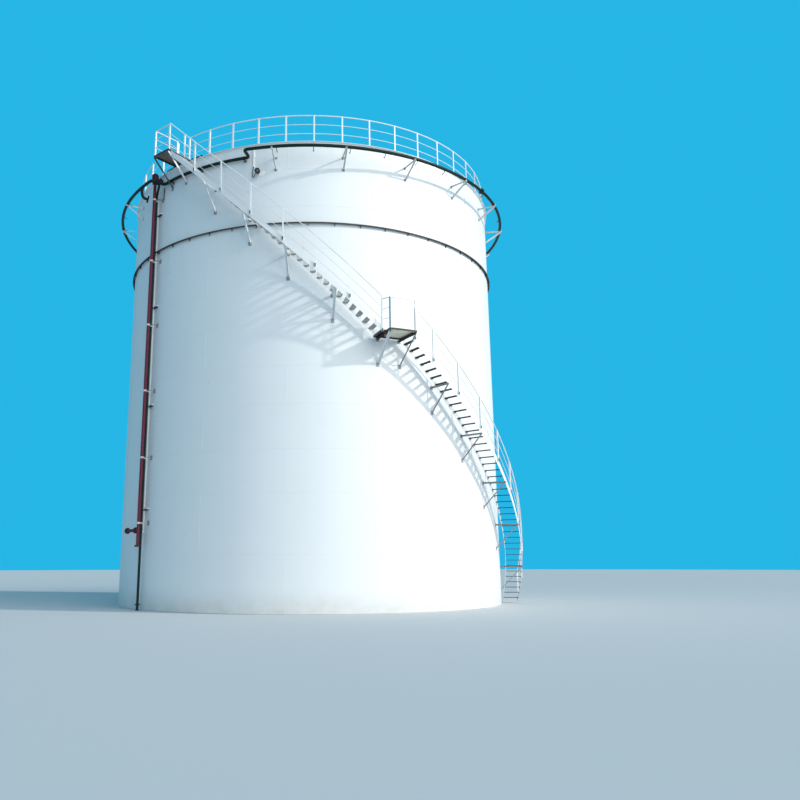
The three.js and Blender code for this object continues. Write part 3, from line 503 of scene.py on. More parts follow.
def make_plate_courses():
    """The shell's plates: a slightly different tone for each one and a weld line between them."""
    group = new_group(
        "plate courses",
        {"Turn": ("value", 0.0), "Height": ("value", 0.0)},
        {"Tone": "value", "Weld": "value"},
    )
    graph = Graph(group)
    given = graph.node("NodeGroupInput").outputs
    course = weld = 0.0
    for level in COURSE_HEIGHTS[1:]:
        course = graph.plus(course, graph.math("GREATER_THAN", given["Height"], level))
        apart = graph.math("ABSOLUTE", graph.less(given["Height"], level))
        weld = graph.math("MAXIMUM", weld, graph.math("LESS_THAN", apart, 0.012))
    start = graph.less(given["Turn"], math.radians(FIRST_SEAM))
    shift = graph.times(course, math.radians(SEAM_STAGGER))
    plates = graph.math("DIVIDE", graph.less(start, shift), math.tau / PLATES_PER_COURSE)
    # The count starts from a high number, so that it is above zero all round
    plates = graph.plus(plates, 64.0)
    seam = graph.math("LESS_THAN", graph.math("FRACT", plates), 0.002)
    cell = graph.node("ShaderNodeCombineXYZ", {"X": graph.math("FLOOR", plates), "Y": course})
    tone = graph.node("ShaderNodeTexWhiteNoise", {"Vector": cell.outputs[0]}).outputs[0]
    graph.node("NodeGroupOutput", {"Tone": tone, "Weld": graph.math("MAXIMUM", weld, seam)})
    return group


def make_drip_stains():
    """Thin runs that hang below a level on the tank, longer where the noise is stronger."""
    group = new_group(
        "drip stains",
        {
            "Streaked": ("vector", None),
            "Height": ("value", 0.0),
            "Level": ("value", 0.0),
            "Reach": ("value", 1.0),
        },
        {"Mask": "value"},
    )
    graph = Graph(group)
    given = graph.node("NodeGroupInput").outputs
    below = graph.less(given["Level"], given["Height"])
    along = graph.math("DIVIDE", below, given["Reach"])
    fade = graph.less(1.0, graph.ramp(along, 0.0, 1.0))
    under = graph.math("GREATER_THAN", below, 0.0)
    runs = graph.ramp(graph.noise(given["Streaked"], 5.0, 5.0, 0.7), 0.52, 0.74)
    graph.node("NodeGroupOutput", {"Mask": graph.times(graph.times(fade, under), runs)})
    return group


GROUPS = {
    "coordinates": make_tank_coordinates(),
    "paint": make_worn_paint(),
    "courses": make_plate_courses(),
    "drips": make_drip_stains(),
}


class Finish:
    """A material with its graph, its Object coordinates and its Principled shader at hand."""

    def __init__(self, name):
        self.material = bpy.data.materials.new(name)
        self.material.use_nodes = True
        self.graph = Graph(self.material.node_tree)
        self.shader = self.material.node_tree.nodes["Principled BSDF"]
        self.place = self.graph.node("ShaderNodeTexCoord").outputs["Object"]

    def group(self, key, **links):
        made = self.graph.node("ShaderNodeGroup", node_tree=GROUPS[key])
        for socket, value in links.items():
            self.graph.feed(made.inputs[socket.replace("_", " ")], value)
        return made.outputs

    def paint(self, color, grain, gloss, grime, grime_color, rust=0.0):
        return self.group(
            "paint",
            Place=self.place,
            Paint=(*color, 1.0),
            Grime=(*grime_color, 1.0),
            Grime_Amount=grime,
            Rust_Amount=rust,
            Grain=grain,
            Gloss=gloss,
        )

    def finish(self, color, roughness, height, bump, distance, metallic=0.0):
        self.graph.feed(self.shader.inputs["Base Color"], color)
        self.graph.feed(self.shader.inputs["Roughness"], roughness)
        self.shader.inputs["Metallic"].default_value = metallic
        links = {"Height": height, "Strength": bump, "Distance": distance}
        normal = self.graph.node("ShaderNodeBump", links).outputs[0]
        self.graph.feed(self.shader.inputs["Normal"], normal)
        return self.material


def shell_paint():
    """Glossy white, with plates, weld lines, faint runs under the rim and dust at the foot."""
    finish = Finish("shell paint")
    graph = finish.graph
    where = finish.group("coordinates", Place=finish.place)
    plates = finish.group("courses", Turn=where["Turn"], Height=where["Height"])
    paint = finish.paint((0.84, 0.85, 0.855), 0.55, 0.30, 0.05, (0.6, 0.6, 0.58))
    color = graph.tinted(paint["Color"], plates["Tone"], 0.045, (0.66, 0.69, 0.72))
    color = graph.tinted(color, plates["Weld"], 0.10, (0.62, 0.64, 0.66))
    for level, reach, strength in ((TANK_HEIGHT, 2.4, 0.16), (GIRDER_LEVEL, 1.8, 0.14)):
        stains = finish.group(
            "drips", Streaked=where["Streaked"], Height=where["Height"], Level=level, Reach=reach
        )
        color = graph.tinted(color, stains["Mask"], strength, (0.45, 0.43, 0.39))
    threads = graph.ramp(graph.noise(where["Streaked"], 11.0, 3.0, 0.5), 0.68, 0.74)
    rusty = graph.times(threads, graph.ramp(where["Height"], 14.4, 15.9))
    color = graph.tinted(color, rusty, 0.30, (0.50, 0.27, 0.12))
    foot = graph.less(1.0, graph.ramp(where["Height"], 0.0, 0.9))
    dust = graph.times(foot, graph.noise(finish.place, 2.5, 5.0, 0.65))
    color = graph.tinted(color, dust, 0.6, (0.45, 0.40, 0.33))
    height = graph.plus(paint["Height"], graph.times(plates["Weld"], 0.6))
    waves = graph.times(graph.noise(where["Unrolled"], 0.7, 2.0, 0.5), 1.5)
    return finish.finish(color, paint["Roughness"], graph.plus(height, waves), 0.15, 0.003)


def roof_paint():
    """Weathered white with rain marks and dust that lies in patches."""
    finish = Finish("roof paint")
    graph = finish.graph
    paint = finish.paint((0.66, 0.67, 0.67), 0.7, 0.42, 0.5, (0.40, 0.39, 0.36), 0.1)
    patches = graph.ramp(graph.noise(finish.place, 0.35, 6.0, 0.65), 0.45, 0.75)
    color = graph.tinted(paint["Color"], patches, 0.35, (0.45, 0.43, 0.38))
    return finish.finish(color, paint["Roughness"], paint["Height"], 0.3, 0.003)


def plain_paint(name, color, grain, gloss, grime, grime_color, rust, bump, distance, metallic=0.0):
    """Paint or metal with nothing on it but grime in patches and rust in specks."""
    finish = Finish(name)
    paint = finish.paint(color, grain, gloss, grime, grime_color, rust)
    surface = (paint["Color"], paint["Roughness"], paint["Height"])
    return finish.finish(*surface, bump, distance, metallic)


def trim_paint(name, color, rust, grime):
    """Paint on stairs, rails and brackets."""
    return plain_paint(name, color, 2.2, 0.36, grime, (0.46, 0.44, 0.40), rust, 0.3, 0.001)


def plain_metal(name, color, gloss, metallic, rust=0.2):
    dirt = (0.15, 0.13, 0.11)
    return plain_paint(name, color, 8.0, gloss, 0.3, dirt, rust, 0.3, 0.0005, metallic)


def pipe_paint(name, color, faded, gloss):
    """Gloss paint on a pipe, chalked in patches and chipped in a few spots."""
    finish = Finish(name)
    graph = finish.graph
    paint = finish.paint(color, 1.6, gloss, 0.22, faded, 0.12)
    chalk = graph.ramp(graph.noise(finish.place, 6.0, 5.0, 0.6), 0.40, 0.80)
    tint = graph.tinted(paint["Color"], chalk, 0.3, faded)
    finish.shader.inputs["Specular IOR Level"].default_value = 0.25
    return finish.finish(tint, paint["Roughness"], paint["Height"], 0.25, 0.001)


def deck_steel(name, color, grime_color, rust):
    """Checkered plate: raised lozenges, worn brighter than the hollows between them."""
    finish = Finish(name)
    graph = finish.graph
    paint = finish.paint(color, 3.0, 0.5, 0.5, grime_color, rust)
    masks = []
    for turn in (45.0, -45.0):
        mapping = graph.node("ShaderNodeMapping", {"Vector": finish.place})
        mapping.inputs["Rotation"].default_value = (0.0, 0.0, math.radians(turn))
        mapping.inputs["Scale"].default_value = (28.0, 28.0, 28.0)
        cells = graph.node("ShaderNodeSeparateXYZ", {"Vector": mapping.outputs[0]}).outputs
        x, y = [
            graph.math("ABSOLUTE", graph.less(graph.math("FRACT", cells[axis]), 0.5))
            for axis in (0, 1)
        ]
        oval = graph.plus(graph.times(x, 4.0), y)
        masks.append(graph.less(1.0, graph.ramp(oval, 0.35, 0.5)))
    # Only the faces that look up have lozenges
    normal = graph.node("ShaderNodeNewGeometry").outputs["Normal"]
    above = graph.node("ShaderNodeSeparateXYZ", {"Vector": normal}).outputs[2]
    lozenge = graph.times(graph.math("MAXIMUM", *masks), graph.math("GREATER_THAN", above, 0.5))
    bright = graph.tinted(paint["Color"], lozenge, 0.25, (0.42, 0.41, 0.38))
    height = graph.plus(paint["Height"], graph.times(lozenge, 2.0))
    return finish.finish(bright, paint["Roughness"], height, 0.4, 0.002, 0.1)


def lamp_glass():
    finish = Finish("lamp glass")
    graph = finish.graph
    smear = graph.noise(finish.place, 30.0, 4.0, 0.6)
    ribs = graph.node("ShaderNodeTexWave", {"Vector": finish.place, "Scale": 20.0}).outputs[1]
    color = graph.mix(smear, (0.08, 0.09, 0.10, 1.0), (0.30, 0.32, 0.33, 1.0))
    finish.shader.inputs["Coat Weight"].default_value = 0.6
    return finish.finish(color, graph.ramp(smear, 0.2, 3.0), ribs, 0.3, 0.001)


FINISHES = {
    "shell": shell_paint(),
    "roof": roof_paint(),
    "white": trim_paint("stair paint", (0.83, 0.84, 0.84), 0.08, 0.10),
    "bright": trim_paint("new white paint", (0.93, 0.93, 0.92), 0.0, 0.03),
    "ring white": trim_paint("bracket paint", (0.74, 0.74, 0.72), 0.40, 0.35),
    # Mid grey: painted shade on the stair's struts, which are white steel in shade. The risers'
    # clamp bars wear it as plain grey paint.
    "strut": trim_paint("grey paint and painted shade", (0.33, 0.33, 0.33), 0.25, 0.4),
    # Blue-grey: painted shade on the landing's left post.
    "shaded post": trim_paint("post paint with painted shade", (0.26, 0.40, 0.48), 0.1, 0.2),
    # Dark blue: painted shade on the platform's left brace, on the tank's unlit side.
    "shaded strut": trim_paint("dark blue painted shade on struts", (0.045, 0.065, 0.11), 0.1, 0.2),
    "pad": trim_paint("pad paint", (0.30, 0.29, 0.28), 0.5, 0.6),
    "girder": plain_paint(
        "girder paint", (0.050, 0.042, 0.038), 1.8, 0.55, 0.45, (0.13, 0.11, 0.095), 0.35, 0.4, 0.002
    ),
    "green": pipe_paint("dark green paint", (0.001, 0.016, 0.013), (0.006, 0.04, 0.030), 0.42),
    "maroon": pipe_paint("maroon paint", (0.14, 0.016, 0.040), (0.20, 0.05, 0.07), 0.38),
    "aged maroon": pipe_paint("aged maroon paint", (0.045, 0.008, 0.020), (0.10, 0.03, 0.04), 0.45),
    # Black: the flanges' own paint, and painted shade on the deck frames' webs, the landing's
    # bracket arms, the bar on the roof's edge and under the conduit clips.
    "black": plain_metal("black paint and painted shade", (0.018, 0.018, 0.020), 0.5, 0.0, 0.25),
    # Pale yellow-grey: the plate's own hue, made brighter as painted light for the ground's bounce
    # on its underside.
    "deck": deck_steel("landing plate brightened by painted light", (0.80, 0.78, 0.64), (0.50, 0.46, 0.35), 0.20),
    "platform": deck_steel("dark platform plate", (0.25, 0.19, 0.18), (0.12, 0.09, 0.08), 0.45),
    # The treads are one grating steel: near black as painted shade on the lower flight and the
    # landing's narrow part, pale grey on the upper flight.
    "grating": plain_metal("grating steel in painted shade", (0.060, 0.061, 0.062), 0.55, 0.3, 0.1),
    "pale grating": plain_metal("pale grating steel", (0.52, 0.52, 0.51), 0.55, 0.1, 0.1),
    "rusty": plain_metal("rusty bar", (0.27, 0.15, 0.09), 0.7, 0.0, 0.9),
    "bolt": plain_metal("zinc bolts", (0.42, 0.42, 0.41), 0.4, 0.8),
    "rubber": plain_metal("black cable", (0.015, 0.015, 0.016), 0.6, 0.0, 0.0),
    "lamp": plain_metal("lamp casting", (0.035, 0.036, 0.038), 0.45, 0.2),
    "glass": lamp_glass(),
}


# Building up a piece


class Build:
    """One piece in the making, with a mesh for each finish that it wears."""

    def __init__(self, name):
        self.name = name
        self.skins = {}

    def skin(self, finish):
        if finish not in self.skins:
            self.skins[finish] = bmesh.new()
        return self.skins[finish]

    def stamp(self, kit, places):
        """Copies a kit of parts to each of the given places."""
        for finish, bm in kit.skins.items():
            pattern = bpy.data.meshes.new("pattern")
            bm.to_mesh(pattern)
            target = self.skin(finish)
            for place in places:
                copy = pattern.copy()
                copy.transform(place)
                target.from_mesh(copy, face_normals=False, vertex_normals=False)
                bpy.data.meshes.remove(copy)
            bpy.data.meshes.remove(pattern)

    def finish(self, slot, *nodes, crease=32.0):
        mesh = bpy.data.meshes.new(self.name)
        whole = bmesh.new()
        for index, (finish, bm) in enumerate(self.skins.items()):
            bmesh.ops.recalc_face_normals(bm, faces=bm.faces[:])
            for face in bm.faces:
                face.material_index = index
            part = bpy.data.meshes.new("part")
            bm.to_mesh(part)
            whole.from_mesh(part)
            bpy.data.meshes.remove(part)
            mesh.materials.append(FINISHES[finish])
            bm.free()
        whole.to_mesh(mesh)
        whole.free()
        mesh.polygons.foreach_set("use_smooth", [True] * len(mesh.polygons))
        mesh.set_sharp_from_angle(angle=math.radians(crease))
        piece = bpy.data.objects.new(self.name, mesh)
        bpy.context.scene.collection.objects.link(piece)
        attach(piece, "root")
        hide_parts(*nodes)


def bolt_kit(radius):
    """A hexagon bolt head on a washer, standing on a frame's XY plane."""
    kit = Build("bolt")
    bm = kit.skin("bolt")
    seat = UP * 0.004
    tube(bm, Vector((0, 0, 0)), seat, radius * 1.7, 12)
    tube(bm, seat, seat + UP * radius * 1.2, radius * 1.3, 6, radius * 1.2)
    return kit


BOLT = bolt_kit(0.012)
BIG_BOLT = bolt_kit(0.018)


def bolt_ring(build, place, radius, count, kit=BOLT):
    places = []
    for i in range(count):
        turn = Matrix.Rotation(math.tau * (i + 0.5) / count, 4, "Z")
        places.append(place @ turn @ Matrix.Translation((radius, 0.0, 0.0)))
    build.stamp(kit, places)


def flange_pair(build, finish, place, radius, thickness, bolts):
    """Two flanges with a gasket between them, centred on a frame and square to its Z."""
    half = thickness / 2.0
    upper = [(0.0, half), (radius - 0.004, half), (radius, half - 0.004)]
    upper += [(radius, 0.002), (radius - 0.012, 0.002)]
    lower = [(reach, -height) for reach, height in upper]
    lathe(build.skin(finish), lower + upper[::-1], place, 32)
    for turn in (0.0, math.pi):
        face = place @ Matrix.Rotation(turn, 4, "X") @ Matrix.Translation((0, 0, half))
        bolt_ring(build, face, radius - 0.024, bolts)


def pads(build, azimuth, levels, size, finish="pad"):
    """Doubler plates on the shell, one at each level."""
    kit = Build("pad")
    place = Matrix.Translation((0, 0, PAD_THICKNESS / 2 - 0.001))
    block(kit.skin(finish), place, (*size, PAD_THICKNESS + 0.002), 0.004)
    build.stamp(kit, [outwards(azimuth, SHELL_RADIUS, level) for level in levels])


# The tank's body


def build_bottom():
    build = Build("bottom_plate_and_toe_weld")
    lathe(build.skin("shell"), box_outline(0, BOTTOM_RADIUS, 0, 0.010), Matrix(), ROUND_STEPS)
    inner = SHELL_RADIUS - 0.002
    toe = [(inner, 0.0095), (SHELL_RADIUS + 0.012, 0.0095), (inner, 0.024)]
    all_round(build.skin("pad"), toe)
    build.finish("shell_paint", "bottom_plate")


def build_shell():
    """The wall with a raised weld bead at each round seam and at each upright one."""
    build = Build("shell_wall")
    bm = build.skin("shell")
    inner = SHELL_RADIUS - SHELL_THICKNESS
    profile = [(inner, COURSE_HEIGHTS[0]), (SHELL_RADIUS, COURSE_HEIGHTS[0])]
    for level in COURSE_HEIGHTS[1:]:
        for lift, out in ((-0.009, 0.0), (-0.003, 0.003), (0.003, 0.003), (0.009, 0.0)):
            profile.append((SHELL_RADIUS + out, level + lift))
    all_round(bm, profile + [(SHELL_RADIUS, SHELL_TOP), (inner, SHELL_TOP)])
    bead = [(-0.009, 0.004), (0.009, 0.004), (0.004, -0.0026), (-0.004, -0.0026)]
    tops = COURSE_HEIGHTS[1:] + [SHELL_TOP]
    for course, (foot, top) in enumerate(zip(COURSE_HEIGHTS, tops)):
        for plate in range(PLATES_PER_COURSE):
            azimuth = FIRST_SEAM + course * SEAM_STAGGER + plate * 360.0 / PLATES_PER_COURSE
            place = standing(azimuth, SHELL_RADIUS, (foot + top) / 2)
            extruded(bm, bead, place, top - foot - 0.02)
    build.finish("shell_paint", *[f"shell_panel_{i + 1}" for i in range(8)], crease=15.0)


def build_curb():
    build = Build("top_curb_angle")
    inner = SHELL_RADIUS - SHELL_THICKNESS
    back = SHELL_RADIUS + GAP
    tip = SHELL_RADIUS + CURB_LEG
    under = TANK_HEIGHT - 0.010
    low = TANK_HEIGHT - CURB_LEG
    profile = [(inner, under), (back, under), (back, low), (back + 0.010, low)]
    profile += [(back + 0.010, under - 0.004), (back + 0.014, under), (tip, under)]
    profile += [(tip, TANK_HEIGHT), (inner, TANK_HEIGHT)]
    all_round(build.skin("shell"), profile)
    build.finish("shell_paint", "top_curb")


def build_girder():
    """A shelf with a lip, and gussets below it that are seen edge on."""
    build = Build("wind_girder_with_gussets")
    back = SHELL_RADIUS + GAP
    web = GIRDER_RADIUS - 0.010
    under = GIRDER_LEVEL - 0.010
    low = GIRDER_LEVEL - GIRDER_LIP
    profile = [(back, under), (web, under), (web, low), (GIRDER_RADIUS, low)]
    profile += [(GIRDER_RADIUS, GIRDER_LEVEL - 0.002), (GIRDER_RADIUS - 0.002, GIRDER_LEVEL)]
    all_round(build.skin("girder"), profile + [(back, GIRDER_LEVEL)])
    gusset = Build("gusset")
    outline = [(-0.002, 0.0), (0.084, 0.0), (0.084, -0.030), (0.020, -0.105), (-0.002, -0.105)]
    edge_on = Matrix(((0, 0, 1, 0), (0, 1, 0, 0), (1, 0, 0, 0), (0, 0, 0, 1)))
    extruded(gusset.skin("girder"), outline, edge_on, 0.008)
    places = []
    for i in range(GUSSETS):
        azimuth = GUSSET_START + i * 360.0 / GUSSETS
        places.append(outwards(azimuth, SHELL_RADIUS, under - 0.0001))
    build.stamp(gusset, places)
    build.finish("girder_paint", "wind_girder")


def roof_height(radius):
    rise = math.sqrt(ROOF_CROWN_RADIUS**2 - radius**2)
    edge = math.sqrt(ROOF_CROWN_RADIUS**2 - ROOF_EDGE_RADIUS**2)
    return TANK_HEIGHT + GAP + ROOF_THICKNESS + rise - edge


def build_roof():
    """Dome of lapped plates: each inner ring lies on the one outside it."""
    build = Build("roof_plates")
    bm = build.skin("roof")
    rings = [ROOF_EDGE_RADIUS - i * 0.2 for i in range(38)]
    top = [(radius, roof_height(radius)) for radius in rings]
    under = [(radius, height - ROOF_THICKNESS) for radius, height in reversed(top)]
    crown = roof_height(0.0)
    profile = [(0.0, crown - ROOF_THICKNESS), *under, *top, (0.0, crown)]
    lathe(bm, profile, Matrix(), ROOF_STEPS)
    # The laps, and the strips that lie along the slope between them
    for radius in (6.2, 4.4, 2.6, 1.0):
        high, low = roof_height(radius - 0.05), roof_height(radius)
        lap = [(radius - 0.05, high - 0.002), (radius, low - 0.002)]
        all_round(bm, lap + [(radius, low + 0.006), (radius - 0.05, high + 0.006)], ROOF_STEPS)
    for count, outer, inner in ((24, 7.44, 6.2), (16, 6.15, 4.4), (12, 4.35, 2.6), (6, 2.55, 1.0)):
        stops = [outer + (inner - outer) * k / 6 for k in range(7)]
        for i in range(count):
            line = [spot(360.0 * (i + 0.5) / count, stop, roof_height(stop)) for stop in stops]
            for start, end in zip(line, line[1:]):
                flat_bar(bm, start, end, 0.05, 0.010)
    build.finish("roof_paint", "roof_dome", crease=20.0)


# Railings


def angle_post(bm, azimuth, radius, foot, head, side=1.0, turn=0.0):
    """A post of rolled angle: one leg along the railing, one towards the tank on the side given."""
    place = standing(azimuth, radius, (foot + head) / 2)
    place = place @ Matrix.Rotation(math.radians(turn), 4, "Z")
    outline = angle_outline(POST_LEG, POST_THICKNESS, -POST_LEG / 2)
    extruded(bm, [(-x * side, y) for x, y in outline], place, head - foot)


def post_foot_kit():
    kit = Build("post foot")
    block(kit.skin("white"), Matrix.Translation((0, 0, 0.005)), (0.12, 0.10, 0.010), 0.002)
    spots = [Matrix.Translation((x, y, 0.010)) for x in (-0.042, 0.042) for y in (-0.032, 0.032)]
    kit.stamp(BOLT, spots)
    return kit


def rail_lines(height):
    """For each of the three rails, its height over the line that they follow and its radius."""
    return [(height * k / 3 - RAIL_TUBE, RAIL_TUBE if k == 3 else MIDDLE_TUBE) for k in (1, 2, 3)]


def build_roof_rail():
    build = Build("roof_guard_rail")
    bm = build.skin("white")
    inset = math.degrees(POST_LEG / 2 / ROOF_RAIL_RADIUS)
    start = GATE_AZIMUTH
    sweep = 360.0 - (GATE_AZIMUTH - PLATFORM_LEFT) + inset
    level = roof_height(ROOF_RAIL_RADIUS)
    feet = []
    for i in range(ROOF_RAIL_BAYS + 1):
        azimuth = start + sweep * i / ROOF_RAIL_BAYS
        angle_post(bm, azimuth, ROOF_RAIL_RADIUS, level - 0.01, level + RAIL_HEIGHT - 0.012)
        feet.append(standing(azimuth, ROOF_RAIL_RADIUS, level - 0.004))
    for lift, bore in rail_lines(RAIL_HEIGHT):
        height = level + lift
        radius, end = ROOF_RAIL_RADIUS - 0.002, start + sweep
        pipe_arc(bm, height, radius, bore, start, end, ROOF_RAIL_BAYS * 4, 8)
        gate = spot(start, GATE_RADIUS, height)
        tube(bm, spot(start, ROOF_RAIL_RADIUS, height), gate, bore, 8)
    build.stamp(post_foot_kit(), feet)
    angle_post(bm, start, GATE_RADIUS, PLATFORM_LEVEL + GAP, level + RAIL_HEIGHT)
    build.finish("stair_paint", *[f"roof_rail_{i + 1}" for i in range(4)])


def build_platform_rail():
    build = Build("platform_guard_rail")
    bm = build.skin("white")
    radius = PLATFORM_RAIL_RADIUS
    inset = math.degrees(POST_LEG / 2 / radius)
    left, right = PLATFORM_LEFT + inset, PLATFORM_RIGHT - inset
    corners = [(left, ROOF_RAIL_RADIUS + POST_LEG + GAP), (left, radius), (right, radius)]
    head = PLATFORM_LEVEL + PLATFORM_RAIL_HEIGHT - 0.012
    for azimuth, out in corners:
        angle_post(bm, azimuth, out, PLATFORM_LEVEL, head)
    for lift, bore in rail_lines(PLATFORM_RAIL_HEIGHT):
        points = [spot(azimuth, out, PLATFORM_LEVEL + lift) for azimuth, out in corners]
        bent_tube(bm, rounded(points, 0.04, 3), bore, 8)
    build.finish("stair_paint", "platform_rail")


def build_landing_rail():
    """Rail on the landing's outer edge, with short returns to the stair's end posts."""
    build = Build("landing_guard_rail")
    bm = build.skin("white")
    shaded = build.skin("shaded post")
    radius = LANDING_RAIL_RADIUS
    inset = math.degrees(POST_LEG / 2 / radius)
    left, right = LANDING_WIDE_LEFT + inset, LANDING_RIGHT - inset
    head = LANDING_LEVEL + RAIL_HEIGHT - 0.012
    # The left post is turned and wears blue-grey painted shade; the right one is white.
    for skin, azimuth, turn in ((shaded, left, 50.0), (bm, right, 0.0)):
        angle_post(skin, azimuth, radius, LANDING_LEVEL, head, -1.0, turn)
    inner = STAIR_RAIL_RADIUS + 0.03
    corners = [(UPPER_POSTS[0] + 0.2, inner), (left, radius)]
    corners += [(right, radius), (LOWER_POSTS[-1] - 0.2, inner)]
    for lift, bore in rail_lines(RAIL_HEIGHT):
        points = [spot(azimuth, out, LANDING_LEVEL + lift) for azimuth, out in corners]
        bent_tube(bm, rounded(points, 0.04, 3), bore, 8)
    build.finish("stair_paint", "landing_rail")


class Climb:
    """A flight's first riser, the level it starts from, its pitch round the tank and its rise."""

    def __init__(self, first, base, pitch, rise):
        self.first = first
        self.base = base
        self.pitch = pitch
        self.rise = rise

    def level(self, azimuth):
        return self.base + (self.first - azimuth) / self.pitch * self.rise


LOWER_FOOT = LANDING_RIGHT + (LOWER_RISERS - 1) * LOWER_PITCH
LOWER_CLIMB = Climb(LOWER_FOOT, 0.0, LOWER_PITCH, LANDING_LEVEL / LOWER_RISERS)
UPPER_RISE = (PLATFORM_LEVEL - LANDING_LEVEL) / UPPER_RISERS
UPPER_CLIMB = Climb(LANDING_LEFT, LANDING_LEVEL, UPPER_PITCH, UPPER_RISE)


def build_stair_rail(name, node, climb, azimuths, to_platform=False):
    """Posts outside the stringer, with three rails that bend gently from post to post."""
    build = Build(name)
    bm = build.skin("white")
    face = STAIR_RAIL_RADIUS + POST_LEG / 2
    for azimuth in azimuths:
        level = climb.level(azimuth)
        on_landing = LANDING_LEFT < azimuth < LANDING_RIGHT
        foot = LANDING_LEVEL - DECK_EDGE_DEPTH if on_landing else level + 0.07
        side = -1.0 if azimuth > POST_SIDE_CHANGE else 1.0
        head = level + STAIR_RAIL_RISE - 0.012
        angle_post(bm, azimuth, STAIR_RAIL_RADIUS, foot, head, side)
        cleat = standing(azimuth, face + 0.004, foot + 0.05)
        cleat = cleat @ Matrix.Translation((0.004 * side, 0.0, 0.0))
        block(build.skin("black"), cleat, (0.036, 0.008, 0.10))
        heights = (level + 0.10, level + 0.155)
        build.stamp(BOLT, [outwards(azimuth + 0.05, face + 0.008, height) for height in heights])
    for lift, bore in rail_lines(STAIR_RAIL_RISE):
        for first, last in zip(azimuths, azimuths[1:]):
            low, high = climb.level(first), climb.level(last)
            pipe_arc(bm, low + lift, STAIR_RAIL_RADIUS, bore, first, last, 4, 8, high - low)
        if to_platform:
            last = azimuths[-1]
            foot = spot(last, STAIR_RAIL_RADIUS, climb.level(last) + lift)
            head = PLATFORM_LEVEL + PLATFORM_RAIL_HEIGHT - STAIR_RAIL_RISE + lift
            end = PLATFORM_RIGHT + math.degrees(0.016 / PLATFORM_RAIL_RADIUS)
            tube(bm, foot, spot(end, PLATFORM_RAIL_RADIUS, head), bore, 8)
    build.finish("stair_paint", node)


# Stair


def strut_angle(bm, foot, head, leg, thickness):
    """An angle centred on a sloping run, with its outer leg on the side of higher azimuths."""
    angle_bar(bm, foot, head, leg, thickness, -leg / 2)


def knee_bracket(build, azimuth, top, reach, leg, finish, arm_finish):
    """A level arm of angle with an angle strut below it, on two pads against the shell."""
    start = spot(azimuth, PAD_FACE, top)
    angle_bar(build.skin(arm_finish), start, spot(azimuth, reach, top), BRACKET_ARM, 0.006)
    middle = top - BRACKET_ARM / 2
    head = spot(azimuth, reach - BRACKET_ARM / 2, middle)
    foot = spot(azimuth, PAD_FACE, top - BRACKET_DROP)
    strut_angle(build.skin(finish), foot, head, leg, 0.007)
    pads(build, azimuth, [middle, top - BRACKET_DROP - 0.02], (0.12, 0.14))


def tread_kit(grating, depth, back):
    """A tread of bar grating on a frame's XZ plane: its width runs along Z and its top is at 0."""
    kit = Build("tread")
    bm = kit.skin(grating)
    going = back + TREAD_FRONT
    middle = (TREAD_FRONT - back) / 2
    width = STAIR_OUTER - STAIR_INNER - STRINGER_THICKNESS
    for i in range(GRATING_BARS):
        x = -back + 0.002 + (going - 0.004) * i / (GRATING_BARS - 1)
        bar = Matrix.Translation((x, -depth / 2, width / 2))
        block(bm, bar, (0.004, depth, width - 0.01))
    for i in range(GRATING_RODS):
        z = width * (i + 0.5) / GRATING_RODS
        block(bm, Matrix.Translation((middle, -0.004, z)), (going - 0.004, 0.006, 0.006))
    for z in (0.003, width - 0.003):
        block(bm, Matrix.Translation((middle, -0.025, z)), (going - 0.02, 0.050, 0.006))
    # The nosing, a small angle along the front edge
    nosing = Matrix.Translation((TREAD_FRONT - 0.013, -0.0015, width / 2))
    block(bm, nosing, (0.026, 0.003, width - 0.01))
    return kit


def cut_at_ground(bm):
    """Takes away what reaches below the ground and closes the cut."""
    parts = bm.verts[:] + bm.edges[:] + bm.faces[:]
    ground = (0.0, 0.0, 0.0)
    cut = bmesh.ops.bisect_plane(bm, geom=parts, plane_co=ground, plane_no=UP, clear_inner=True)
    edges = [item for item in cut["geom_cut"] if isinstance(item, bmesh.types.BMEdge)]
    bmesh.ops.holes_fill(bm, edges=edges)


def build_flights(prefix, climb, edges, brackets, leg, finish, kit):
    """Flights between the given risers: stringers, treads and the knee brackets below them."""
    for n, (begin, end) in enumerate(zip(edges, edges[1:])):
        build = Build(f"{prefix}_flight_{n + 1}")
        white = build.skin("white")
        high = climb.first - begin * climb.pitch
        low = climb.first - end * climb.pitch
        start = climb.level(high)
        rise = climb.level(low) - start
        for radius in (STAIR_INNER, STAIR_OUTER):
            outer = radius + STRINGER_THICKNESS
            profile = box_outline(radius, outer, start - STRINGER_BELOW, start + STRINGER_ABOVE)
            swept(white, profile, high - 0.002, low + 0.002, 2 * (end - begin), rise)
        if start < STRINGER_BELOW:
            cut_at_ground(white)
        places = []
        for i in range(begin, end):
            azimuth = climb.first - (i + 0.5) * climb.pitch
            level = climb.base + (i + 1) * climb.rise
            places.append(outwards(azimuth, STAIR_INNER + STRINGER_THICKNESS, level))
        build.stamp(kit, places)
        for azimuth in brackets:
            if low < azimuth < high:
                level = climb.level(azimuth)
                knee_bracket(build, azimuth, level, BRACKET_REACH, leg, finish, finish)
        build.finish("stair_paint", f"{prefix}_{n + 1}")


# Landing and top platform


